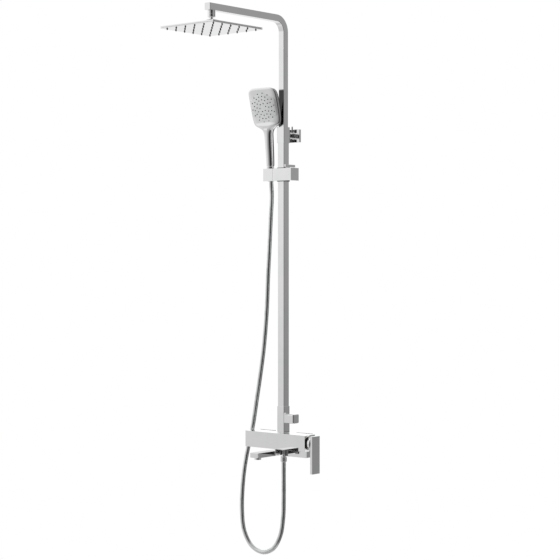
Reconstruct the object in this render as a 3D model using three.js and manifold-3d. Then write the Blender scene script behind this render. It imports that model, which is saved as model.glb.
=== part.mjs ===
// Rainfall shower column: a bar mixer on two wall unions, a telescopic square
// riser with a bent arm, a ball-jointed rain head, and a hand shower on a slider.
// Millimetres. +Z is up, the wall is the plane y = 0 and the room is towards -Y.
// The origin lies on the wall, midway between the two water inlets.
import * as THREE from 'three';
import { mergeVertices } from 'three/addons/utils/BufferGeometryUtils.js';
import Module from 'manifold-3d';

const wasm = await Module();
wasm.setup();

// ---- fits ----
const GAP = 0.3; // between two pieces that touch
const SLIDE_GAP = 0.3; // each side of a piece that slides
const ROUND = 16; // sides of a plain round piece

// ---- column ----
const COLUMN_X = 33;
const COLUMN_OFF_WALL = 56;
const COLUMN_Y = -COLUMN_OFF_WALL;
const LOWER_TUBE = 25;
const LOWER_TUBE_WALL = 1.5;
const LOWER_TUBE_LENGTH = 868;
const UPPER_TUBE = LOWER_TUBE - 2 * LOWER_TUBE_WALL - 2 * SLIDE_GAP;
const UPPER_TUBE_WALL = 1.4;
const TUBE_CORNER = 1.5;
const UPPER_TUBE_INSERTION = 220;
const ARM_AXIS_HEIGHT = 1311.5;
const ARM_REACH = 402; // wall to the end of the arm
const ARM_BEND_RADIUS = 41; // to the middle of the tube
const ARM_CAP_THICKNESS = 1.6;
const ARM_CAP_PLUG = 4;

// ---- bar mixer ----
const INLET_SPACING = 150;
const INLET_DEPTH = 12;
const BAR_LENGTH = 242;
const BAR_HEIGHT = 50;
const BAR_DEPTH = 50;
const BAR_X = 18.3;
const BAR_BACK = COLUMN_Y + BAR_DEPTH / 2;
const BAR_TOP = BAR_HEIGHT / 2;
const BAR_BOTTOM = -BAR_HEIGHT / 2;
const BAR_RIGHT = BAR_X + BAR_LENGTH / 2;
const BAR_LEFT = BAR_X - BAR_LENGTH / 2;
const BAR_EDGE = 0.8;
const LOWER_BLOCK_HEIGHT = 20;
const LOWER_BLOCK_DEPTH = 25;
const LOWER_BLOCK_RIGHT_INSET = 6;
const ROSETTE_WIDTH = 60;
const ROSETTE_HEIGHT = 46;
const ROSETTE_THICKNESS = 8;
const UNION_RADIUS = 10.2;
const UNION_BORE = 6;
const UNION_COLLAR = 1.5; // how far the collar stands out from the tail
const UNION_IN_WALL = 16;
const UNION_NUT_FLATS = 30;
const UNION_NUT_LENGTH = 18;
const WASHER_THICKNESS = 2;

// ---- cartridge and lever ----
const CARTRIDGE_RADIUS = 17.6;
const CARTRIDGE_LENGTH = 40;
const CARTRIDGE_BORE_DEPTH = 52;
const RING_NUT_WIDTH = 10;
const CARRIER_RADIUS = 11;
const CARRIER_LENGTH = 25;
const CARRIER_PROUD = 1.6;
const STEM_SIDE = 8;
const STEM_SWING = 3; // room above and below the stem for its tilt
const LEVER_PIVOT_INSET = 9.3; // from the bar's end to the axis the stem tilts about
const HUB_RADIUS = 22;
const HUB_GAP = 6; // lets the hub tilt against the bar
const HUB_LENGTH = 9;
const LEVER_THICKNESS = 10;
const LEVER_WIDTH = 36;
const LEVER_LENGTH = 115;
const LEVER_TOP = 23;
const LEVER_SCREW_RADIUS = 2.5;
const LEVER_SCREW_INSET = 4; // from the plate's inner face
const LEVER_SET_FORWARD = 0.4; // the plate's middle is in front of the bar's axis

// ---- spout ----
const SPOUT_X = BAR_X;
const SPOUT_WIDTH = 32;
const SPOUT_THICKNESS = 15;
const SPOUT_REACH = 122; // pivot to tip
const SPOUT_WASHER = 2.7;
const SPOUT_BOLT_RADIUS = 7;
const SPOUT_BOLT_HEAD = 11;
const SPOUT_BOLT_HEAD_HEIGHT = 1.6;
const AERATOR_RADIUS = 10.8;
const AERATOR_PROUD = 6.5;
const AERATOR_FROM_TIP = 18;
const AERATOR_SEAT = 6.5; // depth of its seat in the arm
const AERATOR_WALL = 1.5;
const SPOUT_BOLT_GRIP = 14; // length screwed into the bar
const SPOUT_BOLT_BORE = 4;

// ---- hose outlet ----
const OUTLET_X = 50;
const OUTLET_Y = -74.5;
const OUTLET_NECK_RADIUS = 5.5;
const OUTLET_NECK_LENGTH = 21;
const OUTLET_THREAD_RADIUS = 8;
const OUTLET_THREAD_LENGTH = 11;
const OUTLET_TENON = 8; // length of the spigot inside the bar
const OUTLET_BORE = 2.6;
const OUTLET_NUT_MOUTH = 4.5;
const OUTLET_NUT_FLOOR = 1.6;
const OUTLET_NUT_RADIUS = 10;
const OUTLET_NUT_LENGTH = 16;

// ---- diverter ----
const DIVERTER_SIDE = LOWER_TUBE + 3;
const DIVERTER_HEIGHT = 83;
const DIVERTER_AXIS_HEIGHT = 71.5;
const DIVERTER_NECK_END = 61;
const DIVERTER_NECK_SIDE = 27;
const DIVERTER_CARTRIDGE_RADIUS = 9;
const DIVERTER_SPINDLE_RADIUS = 4;
const KNOB_SIDE = 29;
const KNOB_LENGTH = 24;
const KNOB_CORNER = 4;
const WATERWAY_RADIUS = 6;
const WATERWAY_WALL = 2;
const DIVERTER_TENON = 10; // length of the diverter's foot inside the bar
const DIVERTER_SPINDLE_DEPTH = 3; // where the spindle starts inside its cartridge
const TUBE_SOCKET_DEPTH = 12;

// ---- wall bracket ----
const SLEEVE_SIDE = LOWER_TUBE + 4;
const SLEEVE_ABOVE_TUBE = 1.4; // from the top of the lower tube to the sleeve's step
const SLEEVE_HEIGHT = 49.5;
const SLEEVE_STEP = 10; // height of the narrow bore at the top
const FLANGE_WIDTH = 50;
const FLANGE_HEIGHT = 41;
const FLANGE_THICKNESS = 8;
const BRACKET_ROD_RADIUS = 7;
const BRACKET_POST_RADIUS = 10.5;
const BRACKET_POST_LENGTH = 16;
const BRACKET_SCREW_RADIUS = 2.2;
const BRACKET_SCREW_HEIGHT = 22;
const WALL_SCREW_RADIUS = 2.2;
const WALL_SCREW_SPACING = 32;
const WALL_SCREW_LENGTH = 30;

// ---- slider and holder ----
const SLIDER_MIDDLE = 828.5;
const SLIDER_HEIGHT = 39;
const SLIDER_DEPTH = 38;
const SLIDER_LEFT = COLUMN_X - LOWER_TUBE / 2 - 15.7;
const SLIDER_RIGHT = COLUMN_X + LOWER_TUBE / 2 + 33.5;
const HOLDER_LENGTH = 38.4;
const BUSH_WALL = 1.6;
const BUSH_PROUD = 2;
const LOCK_WIDTH = 6;
const LOCK_LENGTH = 46;
const LOCK_HEIGHT = 8;
const LOCK_TRAVEL = 3;
const LOCK_STEM_DEPTH = 14;
const LOCK_STEM_HEIGHT = 18;
const SOCKET_LEAN = THREE.MathUtils.degToRad(4.4);
const HANDSET_FROM_SLIDER = 19.6;
const HANDSET_X = SLIDER_LEFT - HANDSET_FROM_SLIDER;
const HANDSET_Y = -60;
const CONE_TOP_RADIUS = 12.2;
const CONE_BOTTOM_RADIUS = 10.6;
const CONE_ABOVE = 26;
const CONE_BELOW = 20;
const HOSE_SLOT = 16;
const PIVOT_RADIUS = 4;
const PIVOT_LENGTH = 13;
const PIVOT_IN_HOLDER = 4.2;
const LOCK_FROM_BUSH = 2;
const LOCK_SET_BACK = 8; // the tab reaches towards the wall
const SOCKET_REACH = 30; // half the length of the cutter for the socket
const SOCKET_FIT = 0.5; // between the cone and the holder's socket

// ---- hand shower ----
const HANDLE_RADIUS = 12;
const HANDLE_LENGTH = 137;
const HEAD_LEAN = THREE.MathUtils.degToRad(14.7);
const HEAD_WIDTH = 108;
const HEAD_HEIGHT = 110;
const HEAD_THICKNESS = 10;
const HEAD_FORWARD = 5.5; // keeps the back of the head clear of the bracket
const HEAD_CORNER = 24;
const HEAD_HUB_RADIUS = 26;
const HEAD_HUB_THICKNESS = 10;
const HEAD_HUB_FOOT = 38;
const HEAD_OVER_HANDLE = 8;
const CORE_SIDE = 56;
const CORE_POCKET = 60;
const WASHER_SEAT = 9; // radius and height of the washer's seat in the cone
const HOSE_BORE = 4;
const FACE_RADIUS = 44;
const FACE_THICKNESS = 3;
const BUTTON_WIDTH = 16;
const BUTTON_HEIGHT = 18;
const BUTTON_DEPTH = 4;
const BUTTON_PROUD = 1.5;

// ---- rain head ----
const RAIN_SIDE = 215;
const RAIN_TOP = 1252.4;
const RAIN_SHELL = 4.4;
const RAIN_FACE = 2.4;
const RAIN_BOSS_RADIUS = 25;
const RAIN_BOSS_HEIGHT = 5;
const RAIN_FROM_ARM_END = 17;
const RAIN_INLET_RADIUS = 9;
const BALL_RADIUS = 10;
const LINER_RADIUS = 12;
const CUP_RADIUS = 18.5;
const CUP_HEIGHT = 16;
const BALL_ABOVE_RAIN = 13.6;
const BALL_NECK_RADIUS = 4.5;
const STUD_HEAD_RADIUS = 7;
const STUD_BORE = 2.5;
const STUD_IN_ARM = 6;
const BALL_NUT_RADIUS = 12;
const BALL_NUT_LENGTH = 20;
const NOZZLES_PER_SIDE = 6;
const NOZZLE_PITCH = 37;
const NOZZLE_RADIUS = 2.6;
const NOZZLE_LENGTH = 3;

// ---- hose ----
const HOSE_DIAMETER = 14;
const HOSE_SIDES = 8;
const HOSE_STEPS = 46;

// ---- finishes ----
const chrome = () => new THREE.MeshStandardMaterial({ color: 0xd2d4d6, roughness: 0.08, metalness: 1 });
const brass = () => new THREE.MeshStandardMaterial({ color: 0xb8985a, roughness: 0.35, metalness: 1 });
const steel = () => new THREE.MeshStandardMaterial({ color: 0x9a9da0, roughness: 0.3, metalness: 1 });
const rubber = () => new THREE.MeshStandardMaterial({ color: 0x1d1e20, roughness: 0.75, metalness: 0 });
const silicone = () => new THREE.MeshStandardMaterial({ color: 0x3a3d40, roughness: 0.6, metalness: 0 });
const whitePlastic = () => new THREE.MeshStandardMaterial({ color: 0xd9dadb, roughness: 0.45, metalness: 0 });
const greyPlastic = () => new THREE.MeshStandardMaterial({ color: 0x4b4e52, roughness: 0.5, metalness: 0 });

// ---- solids: every helper gives a closed solid in the object's own frame ----
function solid(geometry) {
  const bare = geometry.index ? geometry.toNonIndexed() : geometry.clone();
  bare.deleteAttribute('normal');
  bare.deleteAttribute('uv');
  const merged = mergeVertices(bare, 1e-4);
  return new wasm.Manifold(new wasm.Mesh({
    numProp: 3,
    vertProperties: new Float32Array(merged.attributes.position.array),
    triVerts: new Uint32Array(merged.index.array),
  }));
}

function geometryOf(manifold) {
  const mesh = manifold.getMesh();
  const geometry = new THREE.BufferGeometry();
  geometry.setAttribute('position', new THREE.BufferAttribute(new Float32Array(mesh.vertProperties), 3));
  geometry.setIndex(new THREE.BufferAttribute(new Uint32Array(mesh.triVerts), 1));
  geometry.computeVertexNormals();
  return geometry;
}

function cut(body, ...tools) {
  return tools.reduce((left, tool) => left.subtract(tool), body);
}

function join(...bodies) {
  return bodies.reduce((whole, body) => whole.add(body));
}

// A box from its middle and its three sides.
function box(x, y, z, width, depth, height) {
  const geometry = new THREE.BoxGeometry(width, depth, height);
  geometry.translate(x, y, z);
  return solid(geometry);
}

// A round bar along an axis, from one end to the other.
function rod(axis, from, to, a, b, radius, endRadius = radius, sides = ROUND) {
  const geometry = new THREE.CylinderGeometry(endRadius, radius, to - from, sides);
  geometry.translate(0, (from + to) / 2, 0);
  if (axis === 'x') {
    geometry.rotateZ(-Math.PI / 2);
    geometry.translate(0, a, b);
  }
  if (axis === 'y') {
    geometry.translate(a, 0, b);
  }
  if (axis === 'z') {
    geometry.rotateX(Math.PI / 2);
    geometry.translate(a, b, 0);
  }
  return solid(geometry);
}

// A turned piece about Z: the profile is a closed list of [radius, height].
function turned(profile, x = 0, y = 0, z = 0, sides = ROUND) {
  const points = profile.map(([radius, height]) => new THREE.Vector2(radius, height));
  points.push(points[0].clone());
  const geometry = new THREE.LatheGeometry(points, sides);
  geometry.rotateX(Math.PI / 2);
  geometry.translate(x, y, z);
  const body = solid(geometry);
  return body.volume() < 0 ? solid(flipped(geometry)) : body;
}

function flipped(geometry) {
  const bare = geometry.toNonIndexed();
  const array = bare.attributes.position.array;
  for (let i = 0; i < array.length; i += 9) {
    for (let k = 0; k < 3; k += 1) {
      [array[i + 3 + k], array[i + 6 + k]] = [array[i + 6 + k], array[i + 3 + k]];
    }
  }
  return bare;
}

function roundedRectangle(width, height, radius) {
  const shape = new THREE.Shape();
  const x = width / 2 - radius;
  const y = height / 2 - radius;
  shape.absarc(x, -y, radius, -Math.PI / 2, 0);
  shape.absarc(x, y, radius, 0, Math.PI / 2);
  shape.absarc(-x, y, radius, Math.PI / 2, Math.PI);
  shape.absarc(-x, -y, radius, Math.PI, 1.5 * Math.PI);
  return shape;
}

// A prism of a rounded rectangle along Z, from its foot upwards.
function block(x, y, foot, width, depth, height, radius, segments = 2) {
  const shape = roundedRectangle(width, depth, radius);
  const geometry = new THREE.ExtrudeGeometry(shape, { depth: height, bevelEnabled: false, curveSegments: segments });
  geometry.translate(x, y, foot);
  return solid(geometry);
}

// A plate standing in a plane y = constant, with rounded corners.
function plate(x, back, z, width, height, thickness, radius) {
  const shape = roundedRectangle(width, height, radius);
  const geometry = new THREE.ExtrudeGeometry(shape, { depth: thickness, bevelEnabled: false, curveSegments: 3 });
  geometry.rotateX(Math.PI / 2);
  geometry.translate(x, back, z);
  return solid(geometry);
}

function hexagonY(x, z, from, to, flats) {
  return rod('y', from, to, x, z, flats / Math.sqrt(3), flats / Math.sqrt(3), 6);
}

const object = new THREE.Group();

function add(parent, name, body, material) {
  const mesh = new THREE.Mesh(geometryOf(body), material);
  mesh.name = name;
  parent.add(mesh);
  return mesh;
}

// ==== bar mixer ====
const mixer = new THREE.Group();
object.add(mixer);

const cartridgeBoreStart = BAR_RIGHT - CARTRIDGE_BORE_DEPTH;
const spoutPivotY = COLUMN_Y;
const spoutTop = BAR_BOTTOM - GAP - SPOUT_WASHER - GAP;
const lowerBlockLeft = SPOUT_X + SPOUT_WIDTH / 2 + 3 * GAP;
const lowerBlockRight = BAR_RIGHT - LOWER_BLOCK_RIGHT_INSET;
const lowerBlockFront = OUTLET_Y + OUTLET_NECK_RADIUS + 2 * GAP;
const spoutBoltTop = BAR_BOTTOM + SPOUT_BOLT_GRIP;

function mixerBody() {
  const bar = box(BAR_X, COLUMN_Y, 0, BAR_LENGTH, BAR_DEPTH, BAR_HEIGHT);
  const lower = box((lowerBlockLeft + lowerBlockRight) / 2, lowerBlockFront + LOWER_BLOCK_DEPTH / 2,
    BAR_BOTTOM - LOWER_BLOCK_HEIGHT / 2 + 1, lowerBlockRight - lowerBlockLeft, LOWER_BLOCK_DEPTH,
    LOWER_BLOCK_HEIGHT + 2);
  const cartridgeBore = rod('x', cartridgeBoreStart, BAR_RIGHT + 1, COLUMN_Y, 0, CARTRIDGE_RADIUS + GAP);
  const spindleWay = rod('z', BAR_TOP - DIVERTER_TENON - 2, BAR_TOP + 1, COLUMN_X, COLUMN_Y,
    WATERWAY_RADIUS + WATERWAY_WALL + GAP);
  const outletBore = rod('z', BAR_BOTTOM - 1, BAR_BOTTOM + OUTLET_TENON + 1, OUTLET_X, OUTLET_Y, OUTLET_NECK_RADIUS - 1 + GAP);
  const spoutBore = rod('z', BAR_BOTTOM - 1, spoutBoltTop + GAP, SPOUT_X, spoutPivotY, SPOUT_BOLT_RADIUS + GAP);
  const inlets = [-1, 1].map((side) => rod('y', BAR_BACK - INLET_DEPTH, BAR_BACK + 1,
    side * INLET_SPACING / 2, 0, UNION_BORE));
  return cut(join(bar, lower), cartridgeBore, spindleWay, outletBore, spoutBore, ...inlets);
}
add(mixer, 'mixer_body', mixerBody(), chrome());

function ringY(x, z, from, to, outer, inner) {
  return cut(rod('y', from, to, x, z, outer), rod('y', from - 1, to + 1, x, z, inner));
}

const washerFront = BAR_BACK + GAP;
const unionFront = washerFront + WASHER_THICKNESS + GAP;
const nutBack = washerFront + UNION_NUT_LENGTH;
for (const [side, label] of [[-1, 'left'], [1, 'right']]) {
  const x = side * INLET_SPACING / 2;
  add(mixer, `inlet_washer_${label}`,
    ringY(x, 0, washerFront, washerFront + WASHER_THICKNESS, UNION_RADIUS + UNION_COLLAR - GAP, UNION_BORE), rubber());
  const collar = rod('y', unionFront, nutBack - GAP, x, 0, UNION_RADIUS + UNION_COLLAR);
  const stub = rod('y', nutBack - 1, UNION_IN_WALL, x, 0, UNION_RADIUS);
  const bore = rod('y', unionFront - 1, UNION_IN_WALL + 1, x, 0, UNION_BORE);
  add(mixer, `wall_union_${label}`, cut(join(collar, stub), bore), brass());
  const nut = hexagonY(x, 0, washerFront, nutBack, UNION_NUT_FLATS);
  add(mixer, `union_nut_${label}`,
    cut(nut, rod('y', washerFront - 1, nutBack + 1, x, 0, UNION_RADIUS + UNION_COLLAR + GAP)), chrome());
  const face = plate(x, 0, 0, ROSETTE_WIDTH, ROSETTE_HEIGHT, ROSETTE_THICKNESS, BAR_EDGE * 2);
  add(mixer, `rosette_${label}`,
    cut(face, rod('y', -ROSETTE_THICKNESS - 1, 1, x, 0, UNION_RADIUS + GAP)), chrome());
}

// ==== cartridge, fixed in the bar ====
const cartridgeStart = cartridgeBoreStart + GAP;
const cartridgeEnd = cartridgeStart + CARTRIDGE_LENGTH;
const ringNutEnd = cartridgeEnd + GAP + RING_NUT_WIDTH;
const carrierEnd = BAR_RIGHT + CARRIER_PROUD;
const carrierStart = carrierEnd - CARRIER_LENGTH;
const cartridge = cut(rod('x', cartridgeStart, cartridgeEnd, COLUMN_Y, 0, CARTRIDGE_RADIUS),
  rod('x', carrierStart - GAP, cartridgeEnd + 1, COLUMN_Y, 0, CARRIER_RADIUS + GAP));
add(mixer, 'cartridge_housing', cartridge, whitePlastic());
const ringNut = cut(rod('x', cartridgeEnd + GAP, ringNutEnd, COLUMN_Y, 0, CARTRIDGE_RADIUS),
  rod('x', cartridgeEnd, ringNutEnd + 1, COLUMN_Y, 0, CARRIER_RADIUS + GAP));
add(mixer, 'cartridge_ring_nut', ringNut, brass());

// ==== lever: the carrier turns with it for temperature, the stem tilts for flow ====
const lever = new THREE.Group();
object.add(lever);
const hubStart = BAR_RIGHT + HUB_GAP;
const leverStart = hubStart + HUB_LENGTH + GAP;
const leverEnd = leverStart + LEVER_THICKNESS;
const stemEnd = leverStart + LEVER_THICKNESS * 0.6;
const stemStart = BAR_RIGHT - LEVER_PIVOT_INSET - STEM_SIDE;
const slotHeight = STEM_SIDE + 2 * STEM_SWING;
const carrier = cut(rod('x', carrierStart, carrierEnd, COLUMN_Y, 0, CARRIER_RADIUS),
  box((stemStart - 1 + carrierEnd + 1) / 2, COLUMN_Y, 0, carrierEnd - stemStart + 2, STEM_SIDE + 2 * GAP, slotHeight));
add(lever, 'cartridge_carrier', carrier, greyPlastic());
add(lever, 'lever_stem', box((stemStart + stemEnd) / 2, COLUMN_Y, 0, stemEnd - stemStart, STEM_SIDE, STEM_SIDE), brass());

const stemHole = (from, to) => box((from + to) / 2, COLUMN_Y, 0, to - from, STEM_SIDE + 2 * GAP, STEM_SIDE + 2 * GAP);
const hub = cut(rod('x', hubStart, hubStart + HUB_LENGTH, COLUMN_Y, 0, HUB_RADIUS, HUB_RADIUS, 32),
  stemHole(hubStart - 1, hubStart + HUB_LENGTH + 1));
add(lever, 'lever_hub', hub, chrome());
const leverBack = COLUMN_Y - LEVER_SET_FORWARD + LEVER_WIDTH / 2;
const screwEnd = COLUMN_Y + STEM_SIDE / 2 + 2 * GAP;
const leverPlate = cut(
  block((leverStart + leverEnd) / 2, leverBack - LEVER_WIDTH / 2, LEVER_TOP - LEVER_LENGTH,
    LEVER_THICKNESS, LEVER_WIDTH, LEVER_LENGTH, 1.2),
  stemHole(leverStart - 1, stemEnd + GAP),
  rod('y', screwEnd - GAP, leverBack + 1, leverStart + LEVER_SCREW_INSET, 0, LEVER_SCREW_RADIUS + GAP, LEVER_SCREW_RADIUS + GAP, 12));
add(lever, 'lever_handle', leverPlate, chrome());
add(lever, 'lever_grub_screw',
  rod('y', screwEnd, leverBack - 3, leverStart + LEVER_SCREW_INSET, 0, LEVER_SCREW_RADIUS, LEVER_SCREW_RADIUS, 12), steel());

// ==== swivel spout ====
const spout = new THREE.Group();
object.add(spout);
const spoutBottom = spoutTop - SPOUT_THICKNESS;
const spoutTip = spoutPivotY - SPOUT_REACH;
const aeratorY = spoutTip + AERATOR_FROM_TIP;
const washerTop = BAR_BOTTOM - GAP;
const spoutWasher = cut(rod('z', washerTop - SPOUT_WASHER, washerTop, SPOUT_X, spoutPivotY, SPOUT_WIDTH / 2 - 2),
  rod('z', washerTop - SPOUT_WASHER - 1, washerTop + 1, SPOUT_X, spoutPivotY, SPOUT_BOLT_RADIUS + GAP));
add(spout, 'spout_washer', spoutWasher, greyPlastic());

const spoutBar = join(
  box(SPOUT_X, (spoutPivotY + spoutTip) / 2, (spoutTop + spoutBottom) / 2, SPOUT_WIDTH, SPOUT_REACH, SPOUT_THICKNESS),
  rod('z', spoutBottom, spoutTop, SPOUT_X, spoutPivotY, SPOUT_WIDTH / 2));
const spoutArm = cut(spoutBar,
  rod('z', spoutBottom - 1, spoutTop + 1, SPOUT_X, spoutPivotY, SPOUT_BOLT_RADIUS + GAP),
  rod('z', spoutBottom - 1, spoutBottom + AERATOR_SEAT, SPOUT_X, aeratorY, AERATOR_RADIUS - AERATOR_WALL + GAP));
add(spout, 'spout_arm', spoutArm, chrome());
const boltShaft = rod('z', spoutBottom - GAP - SPOUT_BOLT_HEAD_HEIGHT, spoutBoltTop, SPOUT_X, spoutPivotY,
  SPOUT_BOLT_RADIUS);
const boltHead = rod('z', spoutBottom - GAP - SPOUT_BOLT_HEAD_HEIGHT, spoutBottom - GAP, SPOUT_X, spoutPivotY,
  SPOUT_BOLT_HEAD);
const boltBore = rod('z', spoutBottom + 2, spoutBoltTop + 1, SPOUT_X, spoutPivotY, SPOUT_BOLT_BORE);
add(spout, 'spout_pivot_bolt', cut(join(boltShaft, boltHead), boltBore), chrome());

const aeratorBottom = spoutBottom - AERATOR_PROUD;
const insertRadius = AERATOR_RADIUS - 2 * AERATOR_WALL;
const aerator = turned([
  [insertRadius + GAP, aeratorBottom], [AERATOR_RADIUS, aeratorBottom], [AERATOR_RADIUS, spoutBottom - GAP],
  [AERATOR_RADIUS - AERATOR_WALL, spoutBottom - GAP], [AERATOR_RADIUS - AERATOR_WALL, spoutBottom + AERATOR_SEAT - GAP],
  [insertRadius + GAP, spoutBottom + AERATOR_SEAT - GAP],
], SPOUT_X, aeratorY);
add(spout, 'aerator_housing', aerator, chrome());
add(spout, 'aerator_insert',
  rod('z', aeratorBottom + 0.8, spoutBottom + AERATOR_SEAT - 1, SPOUT_X, aeratorY, insertRadius), greyPlastic());

// ==== hose outlet under the bar ====
const neckBottom = BAR_BOTTOM - OUTLET_NECK_LENGTH;
const threadBottom = neckBottom - OUTLET_THREAD_LENGTH;
const valveRadius = OUTLET_THREAD_RADIUS - 2.4;
const spigot = turned([
  [OUTLET_BORE, BAR_BOTTOM + OUTLET_TENON], [OUTLET_BORE, neckBottom - 1], [valveRadius + GAP, neckBottom - 1],
  [valveRadius + GAP, threadBottom], [OUTLET_THREAD_RADIUS, threadBottom], [OUTLET_THREAD_RADIUS, neckBottom],
  [OUTLET_NECK_RADIUS, neckBottom], [OUTLET_NECK_RADIUS, BAR_BOTTOM - GAP],
  [OUTLET_NECK_RADIUS - 1, BAR_BOTTOM - GAP], [OUTLET_NECK_RADIUS - 1, BAR_BOTTOM + OUTLET_TENON],
], OUTLET_X, OUTLET_Y);
add(mixer, 'hose_outlet_spigot', spigot, chrome());
add(mixer, 'check_valve', cut(
  rod('z', threadBottom + GAP, neckBottom - 1 - GAP, OUTLET_X, OUTLET_Y, valveRadius),
  rod('z', threadBottom, threadBottom + 4, OUTLET_X, OUTLET_Y, 3)), whitePlastic());
const outletWasherTop = threadBottom - GAP;
const outletWasher = cut(
  rod('z', outletWasherTop - WASHER_THICKNESS, outletWasherTop, OUTLET_X, OUTLET_Y, OUTLET_THREAD_RADIUS),
  rod('z', outletWasherTop - WASHER_THICKNESS - 1, outletWasherTop + 1, OUTLET_X, OUTLET_Y, 4));
add(mixer, 'hose_washer', outletWasher, rubber());
const outletNutTop = neckBottom - GAP;
const outletNutBottom = outletNutTop - OUTLET_NUT_LENGTH;
const outletNut = turned([
  [OUTLET_THREAD_RADIUS + GAP, outletNutTop], [OUTLET_THREAD_RADIUS + GAP, outletNutBottom + OUTLET_NUT_FLOOR],
  [OUTLET_NUT_MOUTH, outletNutBottom + OUTLET_NUT_FLOOR], [OUTLET_NUT_MOUTH, outletNutBottom], [OUTLET_NUT_RADIUS - 1, outletNutBottom],
  [OUTLET_NUT_RADIUS, outletNutBottom + 1.5], [OUTLET_NUT_RADIUS, outletNutTop],
], OUTLET_X, OUTLET_Y);
add(mixer, 'hose_nut_lower', outletNut, chrome());

// ==== diverter at the foot of the riser ====
const diverter = new THREE.Group();
object.add(diverter);
const diverterFoot = BAR_TOP + GAP;
const diverterTop = diverterFoot + DIVERTER_HEIGHT;
const neckStart = COLUMN_X + DIVERTER_SIDE / 2 - 1;
const diverterBody = cut(
  join(
    block(COLUMN_X, COLUMN_Y, diverterFoot, DIVERTER_SIDE, DIVERTER_SIDE, DIVERTER_HEIGHT, TUBE_CORNER),
    box((neckStart + DIVERTER_NECK_END) / 2, COLUMN_Y, DIVERTER_AXIS_HEIGHT, DIVERTER_NECK_END - neckStart,
      DIVERTER_NECK_SIDE, DIVERTER_NECK_SIDE),
    rod('z', BAR_TOP - DIVERTER_TENON, diverterFoot + 1, COLUMN_X, COLUMN_Y, WATERWAY_RADIUS + WATERWAY_WALL)),
  rod('z', BAR_TOP - DIVERTER_TENON - 1, diverterTop + 1, COLUMN_X, COLUMN_Y, WATERWAY_RADIUS),
  rod('x', COLUMN_X, DIVERTER_NECK_END + 1, COLUMN_Y, DIVERTER_AXIS_HEIGHT, DIVERTER_CARTRIDGE_RADIUS + GAP),
  block(COLUMN_X, COLUMN_Y, diverterTop - TUBE_SOCKET_DEPTH, LOWER_TUBE + 2 * GAP, LOWER_TUBE + 2 * GAP,
    TUBE_SOCKET_DEPTH + 1, TUBE_CORNER));
add(diverter, 'diverter_body', diverterBody, chrome());
const diverterCartridgeStart = COLUMN_X + WATERWAY_RADIUS;
const diverterCartridge = cut(
  rod('x', diverterCartridgeStart, DIVERTER_NECK_END - GAP, COLUMN_Y, DIVERTER_AXIS_HEIGHT, DIVERTER_CARTRIDGE_RADIUS),
  rod('x', diverterCartridgeStart + DIVERTER_SPINDLE_DEPTH, DIVERTER_NECK_END, COLUMN_Y, DIVERTER_AXIS_HEIGHT,
    DIVERTER_SPINDLE_RADIUS + GAP, DIVERTER_SPINDLE_RADIUS + GAP, 12));
add(diverter, 'diverter_cartridge', diverterCartridge, whitePlastic());

const knobStart = DIVERTER_NECK_END + GAP;
const knobEnd = knobStart + KNOB_LENGTH;
const spindleEnd = knobStart + KNOB_LENGTH * 0.6;
function knobBody() {
  const shape = roundedRectangle(KNOB_SIDE, KNOB_SIDE, KNOB_CORNER);
  const geometry = new THREE.ExtrudeGeometry(shape, { depth: KNOB_LENGTH, bevelEnabled: false, curveSegments: 4 });
  geometry.rotateY(Math.PI / 2);
  geometry.translate(knobStart, COLUMN_Y, DIVERTER_AXIS_HEIGHT);
  const pocket = rod('x', knobStart - 1, spindleEnd + GAP, COLUMN_Y, DIVERTER_AXIS_HEIGHT,
    DIVERTER_SPINDLE_RADIUS + GAP, DIVERTER_SPINDLE_RADIUS + GAP, 12);
  return cut(solid(geometry), pocket);
}
add(diverter, 'diverter_knob', knobBody(), chrome());
add(diverter, 'diverter_spindle', rod('x', diverterCartridgeStart + DIVERTER_SPINDLE_DEPTH + GAP, spindleEnd, COLUMN_Y,
  DIVERTER_AXIS_HEIGHT, DIVERTER_SPINDLE_RADIUS, DIVERTER_SPINDLE_RADIUS, 12), brass());

// ==== riser ====
const riser = new THREE.Group();
object.add(riser);
const lowerTubeFoot = diverterTop - TUBE_SOCKET_DEPTH + GAP;
const lowerTubeTop = lowerTubeFoot + LOWER_TUBE_LENGTH;
const lowerTubeBore = LOWER_TUBE - 2 * LOWER_TUBE_WALL;
const lowerTube = cut(
  block(COLUMN_X, COLUMN_Y, lowerTubeFoot, LOWER_TUBE, LOWER_TUBE, LOWER_TUBE_LENGTH, TUBE_CORNER),
  block(COLUMN_X, COLUMN_Y, lowerTubeFoot - 1, lowerTubeBore, lowerTubeBore, LOWER_TUBE_LENGTH + 2, 0.5, 1));
add(riser, 'riser_lower_tube', lowerTube, chrome());

const upperFoot = lowerTubeTop - UPPER_TUBE_INSERTION;
const armEnd = -ARM_REACH;
const rainY = armEnd + RAIN_FROM_ARM_END;
const armBottom = ARM_AXIS_HEIGHT - UPPER_TUBE / 2;

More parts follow.
